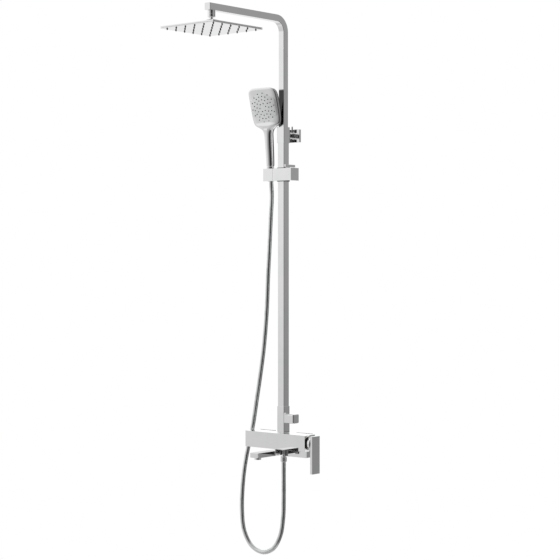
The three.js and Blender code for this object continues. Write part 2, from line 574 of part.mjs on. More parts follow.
// The bent tube is a square section swept along straight, quarter turn, straight.
function bentTube(side, radius, past) {
  const corner = new THREE.Vector3(COLUMN_X, COLUMN_Y, ARM_AXIS_HEIGHT);
  const bendFoot = corner.clone().add(new THREE.Vector3(0, 0, -ARM_BEND_RADIUS));
  const bendEnd = corner.clone().add(new THREE.Vector3(0, -ARM_BEND_RADIUS, 0));
  const half = side / 2;
  const steps = 6;
  const stations = [[COLUMN_Y, upperFoot - past, 0], [COLUMN_Y, bendFoot.z, 0]];
  for (let i = 1; i <= steps; i += 1) {
    const turn = (i / steps) * (Math.PI / 2);
    stations.push([COLUMN_Y - ARM_BEND_RADIUS * (1 - Math.cos(turn)),
      bendFoot.z + ARM_BEND_RADIUS * Math.sin(turn), turn]);
  }
  stations.push([armEnd - past, bendEnd.z, Math.PI / 2]);
  const outline = roundedRectangle(side, side, radius).getPoints(2).slice(0, -1);
  const positions = [];
  for (const [y, z, turn] of stations) {
    for (const point of outline) {
      positions.push(COLUMN_X + point.x, y + point.y * Math.cos(turn), z + point.y * Math.sin(turn));
    }
  }
  const count = outline.length;
  const triangles = [];
  for (let s = 0; s < stations.length - 1; s += 1) {
    for (let i = 0; i < count; i += 1) {
      const a = s * count + i;
      const b = s * count + ((i + 1) % count);
      triangles.push(a, b, b + count, a, b + count, a + count);
    }
  }
  const last = (stations.length - 1) * count;
  for (const [i, j, k] of THREE.ShapeUtils.triangulateShape(outline, [])) {
    triangles.push(i, k, j, last + i, last + j, last + k);
  }
  const geometry = new THREE.BufferGeometry();
  geometry.setAttribute('position', new THREE.Float32BufferAttribute(positions, 3));
  geometry.setIndex(triangles);
  return solid(geometry);
}
const upperTube = cut(
  bentTube(UPPER_TUBE, TUBE_CORNER, 0),
  bentTube(UPPER_TUBE - 2 * UPPER_TUBE_WALL, 0.5, 1),
  rod('z', armBottom - 1, armBottom + 3, COLUMN_X, rainY, STUD_HEAD_RADIUS + GAP));
add(riser, 'riser_upper_tube', upperTube, chrome());
const capPlug = UPPER_TUBE - 2 * UPPER_TUBE_WALL - 2 * GAP;
add(riser, 'arm_end_cap', join(
  plate(COLUMN_X, armEnd - GAP, ARM_AXIS_HEIGHT, UPPER_TUBE, UPPER_TUBE, ARM_CAP_THICKNESS, TUBE_CORNER),
  box(COLUMN_X, armEnd + ARM_CAP_PLUG / 2 - GAP - 0.2, ARM_AXIS_HEIGHT, capPlug, ARM_CAP_PLUG, capPlug)), chrome());

// ==== ball joint and rain head ====
const rain = new THREE.Group();
object.add(rain);
const ballZ = RAIN_TOP + BALL_ABOVE_RAIN;
const nutTop = armBottom - GAP;
const nutBottom = nutTop - BALL_NUT_LENGTH;
const studTop = armBottom + STUD_IN_ARM;

// A ring of points on a sphere about the ball's middle, from one height to another.
function arc(radius, from, to, steps) {
  const points = [];
  for (let i = 0; i <= steps; i += 1) {
    const start = Math.asin(from / radius);
    const angle = start + (Math.asin(to / radius) - start) * (i / steps);
    points.push([radius * Math.cos(angle), radius * Math.sin(angle)]);
  }
  return points;
}
const neckMeetsBall = Math.sqrt(BALL_RADIUS ** 2 - BALL_NECK_RADIUS ** 2);
const boreMeetsBall = -Math.sqrt(BALL_RADIUS ** 2 - STUD_BORE ** 2);
const stud = turned([
  [STUD_BORE, boreMeetsBall], ...arc(BALL_RADIUS, boreMeetsBall + 0.2, neckMeetsBall, 8),
  [BALL_NECK_RADIUS, nutBottom - ballZ + 2], [STUD_HEAD_RADIUS, nutBottom - ballZ + 4],
  [STUD_HEAD_RADIUS, studTop - ballZ], [STUD_BORE, studTop - ballZ],
], COLUMN_X, rainY, ballZ);
add(rain, 'ball_stud', stud, chrome());
const ballNut = turned([
  [STUD_HEAD_RADIUS + GAP, nutTop], [STUD_HEAD_RADIUS + GAP, nutBottom + 4], [BALL_NECK_RADIUS + 4, nutBottom],
  [BALL_NUT_RADIUS - 1.5, nutBottom], [BALL_NUT_RADIUS, nutBottom + 2], [BALL_NUT_RADIUS, nutTop],
], COLUMN_X, rainY);
add(rain, 'ball_nut', ballNut, chrome());
const liner = turned([
  ...arc(BALL_RADIUS + GAP, -5, 3.5, 6), ...arc(LINER_RADIUS, -5.5, 4, 6).reverse(),
], COLUMN_X, rainY, ballZ);
add(rain, 'ball_liner', liner, whitePlastic());
const cavity = LINER_RADIUS + GAP;
const bossTop = RAIN_TOP + RAIN_BOSS_HEIGHT;
const cupFoot = bossTop + GAP - ballZ;
const hollow = arc(cavity, cupFoot + 0.5, 6, 8);
const cup = turned([
  [CUP_RADIUS, cupFoot], [CUP_RADIUS, cupFoot + CUP_HEIGHT - 2], [CUP_RADIUS - 2, cupFoot + CUP_HEIGHT],
  [cavity, cupFoot + CUP_HEIGHT], ...hollow.slice().reverse(), [hollow[0][0], cupFoot],
], COLUMN_X, rainY, ballZ);
add(rain, 'ball_cup', cup, chrome());

const shellBottom = RAIN_TOP - RAIN_SHELL;
const rainShell = cut(
  join(
    block(COLUMN_X, rainY, shellBottom, RAIN_SIDE, RAIN_SIDE, RAIN_SHELL, 3),
    rod('z', RAIN_TOP - 1, bossTop, COLUMN_X, rainY, RAIN_BOSS_RADIUS)),
  rod('z', shellBottom - 1, bossTop + 1, COLUMN_X, rainY, RAIN_INLET_RADIUS),
  box(COLUMN_X, rainY, shellBottom, RAIN_SIDE - 12, RAIN_SIDE - 12, 2.4));
add(rain, 'rain_head_shell', rainShell, chrome());
const nozzleSpan = (NOZZLES_PER_SIDE - 1) * NOZZLE_PITCH;
const faceTop = shellBottom - GAP;
const faceBottom = faceTop - RAIN_FACE;
const nozzlePlaces = [];
for (let row = 0; row < NOZZLES_PER_SIDE; row += 1) {
  for (let column = 0; column < NOZZLES_PER_SIDE; column += 1) {
    nozzlePlaces.push([COLUMN_X - nozzleSpan / 2 + column * NOZZLE_PITCH, rainY - nozzleSpan / 2 + row * NOZZLE_PITCH]);
  }
}
const matTop = shellBottom + 1.2 - GAP;
const nozzleMat = join(
  box(COLUMN_X, rainY, matTop - 0.6 + 0.15, RAIN_SIDE - 14, RAIN_SIDE - 14, 0.9),
  ...nozzlePlaces.map(([x, y]) => rod('z', faceBottom - NOZZLE_LENGTH, matTop - 0.5, x, y,
    NOZZLE_RADIUS * 0.6, NOZZLE_RADIUS, 4)));
add(rain, 'rain_nozzle_mat', cut(nozzleMat,
  rod('z', matTop - 3, matTop + 3, COLUMN_X, rainY, 2, 2, 8)), silicone());
const rainFace = cut(
  block(COLUMN_X, rainY, faceBottom, RAIN_SIDE, RAIN_SIDE, RAIN_FACE, 3),
  ...nozzlePlaces.map(([x, y]) => rod('z', faceBottom - 1, faceTop + 1, x, y,
    NOZZLE_RADIUS + GAP * 2, NOZZLE_RADIUS + GAP * 2, 4)));
add(rain, 'rain_head_face', rainFace, chrome());

// ==== wall bracket ====
const bracket = new THREE.Group();
object.add(bracket);
const sleeveFoot = lowerTubeTop + SLEEVE_ABOVE_TUBE + SLEEVE_STEP - SLEEVE_HEIGHT;
const flangeZ = sleeveFoot + SLEEVE_HEIGHT / 2;
const rodFront = COLUMN_Y + SLEEVE_SIDE / 2 - 1;
const postFront = -FLANGE_THICKNESS - BRACKET_POST_LENGTH;
const sleeve = cut(
  join(
    block(COLUMN_X, COLUMN_Y, sleeveFoot, SLEEVE_SIDE, SLEEVE_SIDE, SLEEVE_HEIGHT, TUBE_CORNER),
    rod('y', rodFront, -FLANGE_THICKNESS - 2, COLUMN_X, flangeZ, BRACKET_ROD_RADIUS)),
  block(COLUMN_X, COLUMN_Y, sleeveFoot - 1, LOWER_TUBE + 2 * GAP, LOWER_TUBE + 2 * GAP,
    SLEEVE_HEIGHT - SLEEVE_STEP + 1, TUBE_CORNER),
  block(COLUMN_X, COLUMN_Y, sleeveFoot, UPPER_TUBE + 2 * SLIDE_GAP, UPPER_TUBE + 2 * SLIDE_GAP,
    SLEEVE_HEIGHT + 1, TUBE_CORNER));
add(bracket, 'bracket_sleeve', sleeve, chrome());
const flange = join(
  plate(COLUMN_X, 0, flangeZ, FLANGE_WIDTH, FLANGE_HEIGHT, FLANGE_THICKNESS, 1.5),
  rod('y', postFront, -1, COLUMN_X, flangeZ, BRACKET_POST_RADIUS));
const screwPlaces = [-1, 1].map((side) => COLUMN_X + side * WALL_SCREW_SPACING / 2);
const screwY = -FLANGE_THICKNESS - BRACKET_POST_LENGTH / 3;
add(bracket, 'wall_flange', cut(flange,
  rod('y', postFront - 1, -2, COLUMN_X, flangeZ, BRACKET_ROD_RADIUS + SLIDE_GAP),
  rod('z', flangeZ, flangeZ + FLANGE_HEIGHT, COLUMN_X, screwY, BRACKET_SCREW_RADIUS + GAP, BRACKET_SCREW_RADIUS + GAP, 12),
  ...screwPlaces.map((x) => rod('y', -FLANGE_THICKNESS - 1, 1, x, flangeZ, WALL_SCREW_RADIUS + GAP,
    WALL_SCREW_RADIUS + GAP, 12))), chrome());
screwPlaces.forEach((x, index) => {
  const head = rod('y', -FLANGE_THICKNESS - 2, -FLANGE_THICKNESS - GAP, x, flangeZ, 3.8, 3.8, 12);
  const shank = rod('y', -FLANGE_THICKNESS - 1, WALL_SCREW_LENGTH, x, flangeZ, WALL_SCREW_RADIUS, WALL_SCREW_RADIUS, 12);
  add(bracket, `wall_screw_${index + 1}`, join(head, shank), steel());
});
const setScrewFoot = flangeZ + BRACKET_ROD_RADIUS + GAP;
add(bracket, 'bracket_set_screw', rod('z', setScrewFoot, setScrewFoot + BRACKET_SCREW_HEIGHT, COLUMN_X, screwY,
  BRACKET_SCREW_RADIUS, BRACKET_SCREW_RADIUS, 12), steel());

// ==== slider ====
const slider = new THREE.Group();
object.add(slider);
const sliderFoot = SLIDER_MIDDLE - SLIDER_HEIGHT / 2;
const sliderTop = SLIDER_MIDDLE + SLIDER_HEIGHT / 2;
const bushSide = LOWER_TUBE + 2 * SLIDE_GAP + 2 * BUSH_WALL;
const lockX = COLUMN_X + LOWER_TUBE / 2 + BUSH_WALL + LOCK_FROM_BUSH + LOCK_WIDTH / 2;
const lockStemFoot = sliderTop - LOCK_STEM_HEIGHT + LOCK_TRAVEL;
const pivotFrom = SLIDER_LEFT - PIVOT_IN_HOLDER;
const pivotTo = pivotFrom + PIVOT_LENGTH;
const sliderBody = cut(
  box((SLIDER_LEFT + SLIDER_RIGHT) / 2, COLUMN_Y, SLIDER_MIDDLE, SLIDER_RIGHT - SLIDER_LEFT, SLIDER_DEPTH, SLIDER_HEIGHT),
  block(COLUMN_X, COLUMN_Y, sliderFoot - 1, bushSide + 2 * GAP, bushSide + 2 * GAP, SLIDER_HEIGHT + 2, TUBE_CORNER),
  box(lockX, COLUMN_Y, sliderTop - LOCK_STEM_HEIGHT / 2 + 1, LOCK_WIDTH + 2 * GAP, LOCK_STEM_DEPTH + 2 * GAP,
    LOCK_STEM_HEIGHT + 2),
  rod('x', pivotFrom - 1, pivotTo + GAP, COLUMN_Y, SLIDER_MIDDLE, PIVOT_RADIUS + GAP, PIVOT_RADIUS + GAP, 16));
add(slider, 'slider_body', sliderBody, chrome());
const bush = cut(
  block(COLUMN_X, COLUMN_Y, sliderFoot - BUSH_PROUD, bushSide, bushSide, SLIDER_HEIGHT + 2 * BUSH_PROUD, TUBE_CORNER),
  block(COLUMN_X, COLUMN_Y, sliderFoot - BUSH_PROUD - 1, LOWER_TUBE + 2 * SLIDE_GAP, LOWER_TUBE + 2 * SLIDE_GAP,
    SLIDER_HEIGHT + 2 * BUSH_PROUD + 2, TUBE_CORNER));
add(slider, 'slider_bush', bush, greyPlastic());
const lockFoot = sliderTop + LOCK_TRAVEL + GAP;
const lock = join(
  box(lockX, COLUMN_Y + LOCK_SET_BACK, lockFoot + LOCK_HEIGHT / 2, LOCK_WIDTH, LOCK_LENGTH, LOCK_HEIGHT),
  box(lockX, COLUMN_Y, (lockStemFoot + lockFoot + 1) / 2, LOCK_WIDTH, LOCK_STEM_DEPTH, lockFoot + 1 - lockStemFoot));
add(slider, 'slider_lock_tab', lock, chrome());
add(slider, 'holder_pivot_pin', rod('x', pivotFrom, pivotTo, COLUMN_Y, SLIDER_MIDDLE, PIVOT_RADIUS, PIVOT_RADIUS, 16),
  steel());

// The handset stands in the holder leaning forwards; its pieces are made upright
// about the handset's own axis and then leaned about the middle of the holder.
const leaned = (body, lean = SOCKET_LEAN) => {
  const matrix = new THREE.Matrix4().makeTranslation(HANDSET_X, HANDSET_Y, SLIDER_MIDDLE)
    .multiply(new THREE.Matrix4().makeRotationX(lean));
  const geometry = geometryOf(body).applyMatrix4(matrix);
  return solid(geometry);
};
const holderBottomRadius = CONE_BOTTOM_RADIUS + SOCKET_FIT;
const holderTopRadius = CONE_TOP_RADIUS + SOCKET_FIT;
const coneSlope = (holderTopRadius - holderBottomRadius) / (CONE_ABOVE + CONE_BELOW);
const socketRadius = (height) => holderBottomRadius + coneSlope * (height + CONE_BELOW);
const holder = cut(
  box(SLIDER_LEFT - GAP - HOLDER_LENGTH / 2, COLUMN_Y, SLIDER_MIDDLE, HOLDER_LENGTH, SLIDER_DEPTH, SLIDER_HEIGHT),
  leaned(rod('z', -SOCKET_REACH, SOCKET_REACH, 0, 0, socketRadius(-SOCKET_REACH), socketRadius(SOCKET_REACH))),
  leaned(box(-HOLDER_LENGTH / 2, 0, 0, HOLDER_LENGTH, HOSE_SLOT, 2 * SOCKET_REACH)),
  rod('x', pivotFrom - GAP, SLIDER_LEFT, COLUMN_Y, SLIDER_MIDDLE, PIVOT_RADIUS + GAP, PIVOT_RADIUS + GAP, 16));
add(slider, 'handset_holder', holder, chrome());

// ==== hand shower ====
const handset = new THREE.Group();
object.add(handset);
const cone = cut(
  rod('z', -CONE_BELOW, CONE_ABOVE, 0, 0, CONE_BOTTOM_RADIUS, CONE_TOP_RADIUS),
  rod('z', CONE_ABOVE - 10, CONE_ABOVE + 1, 0, 0, WASHER_SEAT, WASHER_SEAT),
  rod('z', -CONE_BELOW - 1, CONE_ABOVE, 0, 0, HOSE_BORE, HOSE_BORE, 12));
add(handset, 'hose_cone_nut', leaned(cone), chrome());
const handleFoot = CONE_ABOVE + GAP;
const headMiddleZ = handleFoot + HANDLE_LENGTH + HEAD_HEIGHT / 2 - HEAD_OVER_HANDLE;
const headTurn = HEAD_LEAN - SOCKET_LEAN;
const faceRecess = FACE_THICKNESS + GAP;

// Pieces of the head are made about the head's own middle, then set on the handle.
const onHead = (body) => {
  const matrix = new THREE.Matrix4().makeTranslation(0, -HEAD_FORWARD, headMiddleZ - HEAD_HEIGHT / 2)
    .multiply(new THREE.Matrix4().makeRotationX(headTurn))
    .multiply(new THREE.Matrix4().makeTranslation(0, 0, HEAD_HEIGHT / 2));
  return solid(geometryOf(body).applyMatrix4(matrix));
};
const headPlate = plate(0, HEAD_THICKNESS / 2, 0, HEAD_WIDTH, HEAD_HEIGHT, HEAD_THICKNESS, HEAD_CORNER);
const hubShape = rod('y', HEAD_THICKNESS / 2 - 1, HEAD_THICKNESS / 2 + HEAD_HUB_THICKNESS, 0, 0, HEAD_HUB_FOOT, HEAD_HUB_RADIUS, 20);
const faceSeat = rod('y', -HEAD_THICKNESS / 2 - 1, -HEAD_THICKNESS / 2 + faceRecess, 0, 0, FACE_RADIUS + GAP,
  FACE_RADIUS + GAP, 28);
const headCentre = plate(0, HEAD_THICKNESS / 2 - 2, 0, CORE_POCKET, CORE_POCKET, HEAD_THICKNESS - 2, 10);
const handleShaft = rod('z', handleFoot, handleFoot + HANDLE_LENGTH + 24, 0, 0, HANDLE_RADIUS, HANDLE_RADIUS + 2, 20);
const buttonZ = handleFoot + HANDLE_LENGTH - 16;
const buttonFront = -HANDLE_RADIUS - 1;
const buttonBox = (width, depth, height) => box(0, buttonFront + depth / 2, buttonZ, width, depth, height);
const buttonRoom = box(0, buttonFront + 1.5, buttonZ, BUTTON_WIDTH + 2 * GAP, 2 * BUTTON_DEPTH + 2, BUTTON_HEIGHT + 2 * GAP);
const waterInlet = rod('z', handleFoot - 1, handleFoot + 12, 0, 0, 8, 8, 16);
const handsetBody = cut(
  join(onHead(join(headPlate, hubShape)), handleShaft),
  onHead(join(faceSeat, headCentre)), buttonRoom, waterInlet);
add(handset, 'handset_shell', leaned(handsetBody), chrome());
const handsetFace = rod('y', -HEAD_THICKNESS / 2, -HEAD_THICKNESS / 2 + FACE_THICKNESS, 0, 0, FACE_RADIUS,
  FACE_RADIUS, 28);
add(handset, 'handset_spray_face', leaned(onHead(handsetFace)), whitePlastic());
add(handset, 'handset_spray_core', leaned(onHead(plate(0, HEAD_THICKNESS / 2 - 2 - GAP, 0, CORE_SIDE, CORE_SIDE, 3, 8))), greyPlastic());
const button = box(0, buttonFront - BUTTON_PROUD + BUTTON_DEPTH / 2, buttonZ, BUTTON_WIDTH, BUTTON_DEPTH, BUTTON_HEIGHT);
add(handset, 'spray_selector_button', leaned(button), chrome());
add(handset, 'handset_washer', leaned(cut(
  rod('z', CONE_ABOVE - 9, CONE_ABOVE - 9 + WASHER_THICKNESS, 0, 0, WASHER_SEAT - 2 * GAP, WASHER_SEAT - 2 * GAP),
  rod('z', CONE_ABOVE - 10, CONE_ABOVE - 6, 0, 0, HOSE_BORE, HOSE_BORE, 12))), rubber());

// ==== hose: from the cone down past the left end of the bar and up to the outlet ====
const belowSocket = (depth) => new THREE.Vector3(0, 0, -depth)
  .applyAxisAngle(new THREE.Vector3(1, 0, 0), SOCKET_LEAN)
  .add(new THREE.Vector3(HANDSET_X, HANDSET_Y, SLIDER_MIDDLE)).toArray();
const hosePoints = [
  belowSocket(CONE_BELOW + GAP),
  belowSocket(CONE_BELOW + HOSE_DIAMETER),
  belowSocket(CONE_BELOW + 3 * HOSE_DIAMETER),
  [-17, -58, 690],
  [-21, -59.5, 600],
  [-26, -60.5, 510],
  [-33, -59, 400],
  [-47, -56, 290],
  [BAR_LEFT + 35.7, -50, 200],
  [BAR_LEFT + 13.7, -41, 125],
  [BAR_LEFT - 9.3, -34, 38],
  [BAR_LEFT - 20.3, -42, -25],
  [BAR_LEFT - 28.3, -52, -93],
  [BAR_LEFT - 31.3, -59, -160],
  [BAR_LEFT - 30.3, -63, -232],
  [BAR_LEFT - 19.3, -65, -294],
  [-91, -66, -338],
  [-42, -68, -354],
  [5, -71, -336],
  [OUTLET_X - 14, -73.5, -291],
  [OUTLET_X - 2, OUTLET_Y, -233],
  [OUTLET_X, OUTLET_Y, -170],
  [OUTLET_X, OUTLET_Y, -110],
  [OUTLET_X, OUTLET_Y, outletNutBottom - GAP],
].map(([x, y, z]) => new THREE.Vector3(x, y, z));
const hoseCurve = new THREE.CatmullRomCurve3(hosePoints, false, 'centripetal');
const hoseSection = new THREE.Shape();
hoseSection.absarc(0, 0, HOSE_DIAMETER / 2, 0, 2 * Math.PI);
const hoseGeometry = new THREE.ExtrudeGeometry(hoseSection, {
  steps: HOSE_STEPS, extrudePath: hoseCurve, bevelEnabled: false, curveSegments: HOSE_SIDES / 2,
});
add(object, 'shower_hose', solid(hoseGeometry), steel());

export default object;
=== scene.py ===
# %% [markdown]
# # A rainfall shower column, finished in Blender
#
# The working model of the column arrives as a fixed frame: every piece at its real place
# and size, in metres, with +Z up and the wall at y = 0. It is exact but plain. Here each
# piece that shows is remade with soft edges and thin walls, and gets the finish of the
# real thing: mirror chrome, a ribbed metal hose, satin plastic and grey silicone.

import math

import bmesh
import bpy
from mathutils import Matrix, Vector


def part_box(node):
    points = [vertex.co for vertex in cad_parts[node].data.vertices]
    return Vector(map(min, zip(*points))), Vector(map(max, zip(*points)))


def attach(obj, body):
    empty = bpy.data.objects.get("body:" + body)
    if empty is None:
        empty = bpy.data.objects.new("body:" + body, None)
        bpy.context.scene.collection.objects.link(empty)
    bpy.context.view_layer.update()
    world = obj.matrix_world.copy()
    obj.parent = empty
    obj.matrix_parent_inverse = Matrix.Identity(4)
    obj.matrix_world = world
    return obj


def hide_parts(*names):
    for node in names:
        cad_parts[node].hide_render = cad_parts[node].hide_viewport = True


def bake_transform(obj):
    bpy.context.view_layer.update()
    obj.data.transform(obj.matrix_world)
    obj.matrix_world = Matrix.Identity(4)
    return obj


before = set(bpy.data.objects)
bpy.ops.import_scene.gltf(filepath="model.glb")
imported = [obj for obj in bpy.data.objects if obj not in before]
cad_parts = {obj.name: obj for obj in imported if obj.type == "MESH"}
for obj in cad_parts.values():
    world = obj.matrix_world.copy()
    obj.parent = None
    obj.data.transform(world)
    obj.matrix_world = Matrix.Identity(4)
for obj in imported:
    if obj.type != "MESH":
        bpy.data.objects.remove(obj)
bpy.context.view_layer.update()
MM = 0.001

# %% [markdown]
# ## Camera
#
# A long lens a few metres away keeps upright edges upright. The camera stands in front and
# to the right of the column at chest height, and looks level, so the picture is framed by
# sliding the lens down a little rather than by tipping the camera.

# %% Set the camera
CAMERA_TURN = math.radians(40.27)
CAMERA_DISTANCE = 5.032
CAMERA_HEIGHT = 0.569
CAMERA_AIM_X = -0.0283
SENSOR_MM = 36.0
FOCAL_SHARE = 2.8388  # focal length over the width of the picture
HORIZON_SHARE = -0.0393  # how far the level line stands from the middle, over the width

camera_data = bpy.data.cameras.new("camera")
camera = bpy.data.objects.new("camera", camera_data)
bpy.context.scene.collection.objects.link(camera)
camera.location = (
    CAMERA_AIM_X + CAMERA_DISTANCE * math.sin(CAMERA_TURN),
    -CAMERA_DISTANCE * math.cos(CAMERA_TURN),
    CAMERA_HEIGHT,
)
camera.rotation_euler = (math.pi / 2, 0, CAMERA_TURN)
camera_data.sensor_width = SENSOR_MM
camera_data.lens = FOCAL_SHARE * SENSOR_MM
camera_data.shift_y = HORIZON_SHARE
camera_data.clip_end = 60
bpy.context.scene.camera = camera
print("lens", round(camera_data.lens, 1), "mm")

# %% [markdown]
# ## The hose
#
# A shower hose is a rubber tube in a wound steel jacket, 14 mm across, stiff enough to hang
# in one long loop. It leaves the cone at the foot of the hand shower, hangs past the left
# end of the mixer bar, turns at the bottom of its loop and rises to the outlet under the
# bar. Its route is one smooth curve through a few points, and rings of the jacket are set
# along it. A ring is a wide crest and a shallow groove, because the crests are what
# catch the light as two pale lines with a dark one between them.

# %% The route of the hose
HOSE_DIAMETER = 14 * MM
HOSE_GROOVE = 0.4 * MM
HOSE_PITCH = 2.8 * MM
HOSE_SIDES = 20
SOCKET_LEAN = math.radians(4.4)
HANDSET_AXIS = Vector((-14.8, -60, 828.5)) * MM  # where the cone's axis crosses the holder
CONE_BELOW = 20
CONE_GAP = 0.3
HOSE_INSIDE_CONE = 42  # the hose runs on out of sight into the handle


def below_socket(depth):
    """A point on the cone's axis, a depth in millimetres below the middle of the holder."""
    along = Vector((0, math.sin(SOCKET_LEAN), -math.cos(SOCKET_LEAN)))
    return HANDSET_AXIS + along * depth * MM


HOSE_CORNERS = [
    (-17, -58, 690), (-21, -59.5, 600), (-26, -60.5, 510), (-33, -59, 400), (-47, -56, 290),
    (-67, -50, 200), (-89, -41, 125), (-112, -34, 38), (-123, -42, -25), (-131, -52, -93),
    (-134, -59, -160), (-133, -63, -232), (-122, -65, -294), (-91, -66, -338),
    (-42, -68, -354), (5, -71, -336), (36, -73.5, -291), (48, -74.5, -233),
    (50, -74.5, -170), (50, -74.5, -110), (50, -74.5, -62.6),
]
hose_points = [below_socket(CONE_BELOW + depth) for depth in (CONE_GAP, 14, 42)]
hose_points += [Vector(point) * MM for point in HOSE_CORNERS]


def smooth_route(points, steps=24):
    """A centripetal curve through the points: it never overshoots a short span."""
    ends = [2 * points[0] - points[1], *points, 2 * points[-1] - points[-2]]
    route = []
    for a, b, c, d in zip(ends, ends[1:], ends[2:], ends[3:]):
        knots = [0.0]
        for start, stop in ((a, b), (b, c), (c, d)):
            knots.append(knots[-1] + math.sqrt((stop - start).length))
        for step in range(steps):
            t = knots[1] + (knots[2] - knots[1]) * step / steps

            def between(p, q, i, j):
                return p * ((knots[j] - t) / (knots[j] - knots[i])) + q * ((t - knots[i]) / (knots[j] - knots[i]))

            ab, bc, cd = between(a, b, 0, 1), between(b, c, 1, 2), between(c, d, 2, 3)
            route.append(between(between(ab, bc, 0, 2), between(bc, cd, 1, 3), 1, 2))
    return route + [points[-1]]


def route_length(route):
    return sum((b - a).length for a, b in zip(route, route[1:]))


def point_at(route, distance):
    """The point a distance along the route."""
    for a, b in zip(route, route[1:]):
        span = (b - a).length
        if distance <= span:
            return a.lerp(b, distance / span)
        distance -= span
    return route[-1].copy()


free_route = smooth_route(hose_points)
hose_route = [below_socket(CONE_BELOW - HOSE_INSIDE_CONE)] + free_route
print("hose", round(route_length(free_route), 3), "m free")

# %% [markdown]
# The jacket is made as rings joined in order. Each ring is turned from the one before by
# the smallest turn that fits the new direction, so the tube never twists. The hose is two
# pieces that meet below the holder.

# %% Wind the hose
HOSE_SPLIT_HEIGHT = 740 * MM


def start_fresh():
    """Object mode with nothing selected, as every new piece needs."""
    if bpy.context.mode != "OBJECT":
        bpy.ops.object.mode_set(mode="OBJECT")
    bpy.ops.object.select_all(action="DESELECT")


def choose(piece):
    """Makes one piece the only selected and the active one."""
    start_fresh()
    piece.select_set(True)
    bpy.context.view_layer.objects.active = piece


def smooth(piece, sharp):
    """Smooth shading, except across edges sharper than an angle in degrees."""
    choose(piece)
    bpy.ops.object.shade_smooth_by_angle(angle=math.radians(sharp))


def piece_from(shape, name):
    """A new piece from a finished bmesh."""
    mesh = bpy.data.meshes.new(name)
    shape.to_mesh(mesh)
    shape.free()
    piece = bpy.data.objects.new(name, mesh)
    bpy.context.scene.collection.objects.link(piece)
    return piece


def wound_tube(name, route):
    """Rings along a route; every pitch has a flat crest and a shallow groove."""
    length = route_length(route)
    turns = max(2, round(length / HOSE_PITCH))
    pitch = length / turns
    crest, groove = HOSE_DIAMETER / 2, HOSE_DIAMETER / 2 - HOSE_GROOVE
    stations = []
    for turn in range(turns):
        start = turn * pitch
        stations += [(start, groove), (start + 0.12 * pitch, crest), (start + 0.88 * pitch, crest)]
    stations.append((length, groove))
    centres = [point_at(route, distance) for distance, radius in stations]
    shape = bmesh.new()
    heading = (centres[1] - centres[0]).normalized()
    side = heading.orthogonal().normalized()
    rings = []
    for index, (centre, (distance, radius)) in enumerate(zip(centres, stations)):
        before, after = centres[max(index - 1, 0)], centres[min(index + 1, len(centres) - 1)]
        new_heading = (after - before).normalized()
        side = heading.rotation_difference(new_heading) @ side
        side = (side - new_heading * side.dot(new_heading)).normalized()
        heading = new_heading
        across = heading.cross(side)
        ring = []
        for corner in range(HOSE_SIDES):
            angle = 2 * math.pi * corner / HOSE_SIDES
            ring.append(shape.verts.new(centre + (side * math.cos(angle) + across * math.sin(angle)) * radius))
        rings.append(ring)
    for low, high in zip(rings, rings[1:]):
        for corner in range(HOSE_SIDES):
            following = (corner + 1) % HOSE_SIDES
            shape.faces.new((low[corner], low[following], high[following], high[corner]))
    shape.faces.new(list(reversed(rings[0])))
    shape.faces.new(rings[-1])
    piece = piece_from(shape, name)
    smooth(piece, 40)
    return piece, centres


def part_route(route, height):
    """The route down to a height, and the rest of it, sharing the point where it splits."""
    for index, (a, b) in enumerate(zip(route, route[1:])):
        if a.z >= height > b.z:
            middle = a.lerp(b, (a.z - height) / (a.z - b.z))
            return route[:index + 1] + [middle], [middle] + route[index + 1:]
    raise ValueError("the route never crosses that height")


upper_route, lower_route = part_route(hose_route, HOSE_SPLIT_HEIGHT)
hose_upper, upper_centres = wound_tube("hose_upper", upper_route)
hose_lower, lower_centres = wound_tube("hose_lower", lower_route)
for piece in (hose_upper, hose_lower):
    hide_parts("shower_hose")
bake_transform(hose_upper)
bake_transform(hose_lower)
for piece, route, centres, nut in ((hose_upper, upper_route, upper_centres, "hose_cone_nut"),
                                   (hose_lower, lower_route, lower_centres, "hose_nut_lower")):
    print(piece.name, len(piece.data.polygons), "faces")

# %% [markdown]
# ## Studio
#
# Polished chrome has no colour of its own: each flat face shows one patch of the room. So
# the room is the most important part of the finish. This one is a soft round studio, pale
# to the left and behind the column, grey on the right, and dark behind the camera, which
# gives every round piece a dark line between two pale ones. Only the camera itself sees
# plain white paper behind the column.

# %% Paint the room
ROOM_TONES = [
    # share of a full turn clockwise from +Y, grey
    (0.00, 0.80), (0.045, 0.62), (0.075, 0.33), (0.130, 0.32), (0.150, 0.05), (0.190, 0.05),
    (0.215, 0.42), (0.262, 0.42), (0.300, 0.10), (0.325, 0.03), (0.410, 0.03), (0.450, 0.20),
    (0.515, 0.44), (0.575, 0.66), (0.605, 0.82), (0.640, 0.84), (0.700, 1.00), (0.780, 0.72),
    (0.850, 1.10), (0.930, 1.15), (1.00, 0.80),
]
CEILING_TONE = 0.55
FLOOR_TONE = 0.62


def set_inputs(node, **values):
    for name, value in values.items():
        node.inputs[name.replace("_", " ")].default_value = value


def math_step(tree, kind, a, b=None):
    """One arithmetic node; a and b are numbers or sockets."""
    node = tree.nodes.new("ShaderNodeMath")
    node.operation = kind
    for socket, value in zip(node.inputs, (a, b)):
        if isinstance(value, (int, float)):
            socket.default_value = value
        elif value is not None:
            tree.links.new(value, socket)
    return node.outputs[0]


def mixed_colour(tree, amount, first, second):
    node = tree.nodes.new("ShaderNodeMix")
    node.data_type = "RGBA"
    for label, value in (("Factor", amount), ("A", first), ("B", second)):
        socket = node.inputs[label]
        if isinstance(value, (int, float, tuple)):
            socket.default_value = value
        else:
            tree.links.new(value, socket)
    return node.outputs["Result"]


def grey(tone):
    return (tone, tone, tone, 1)


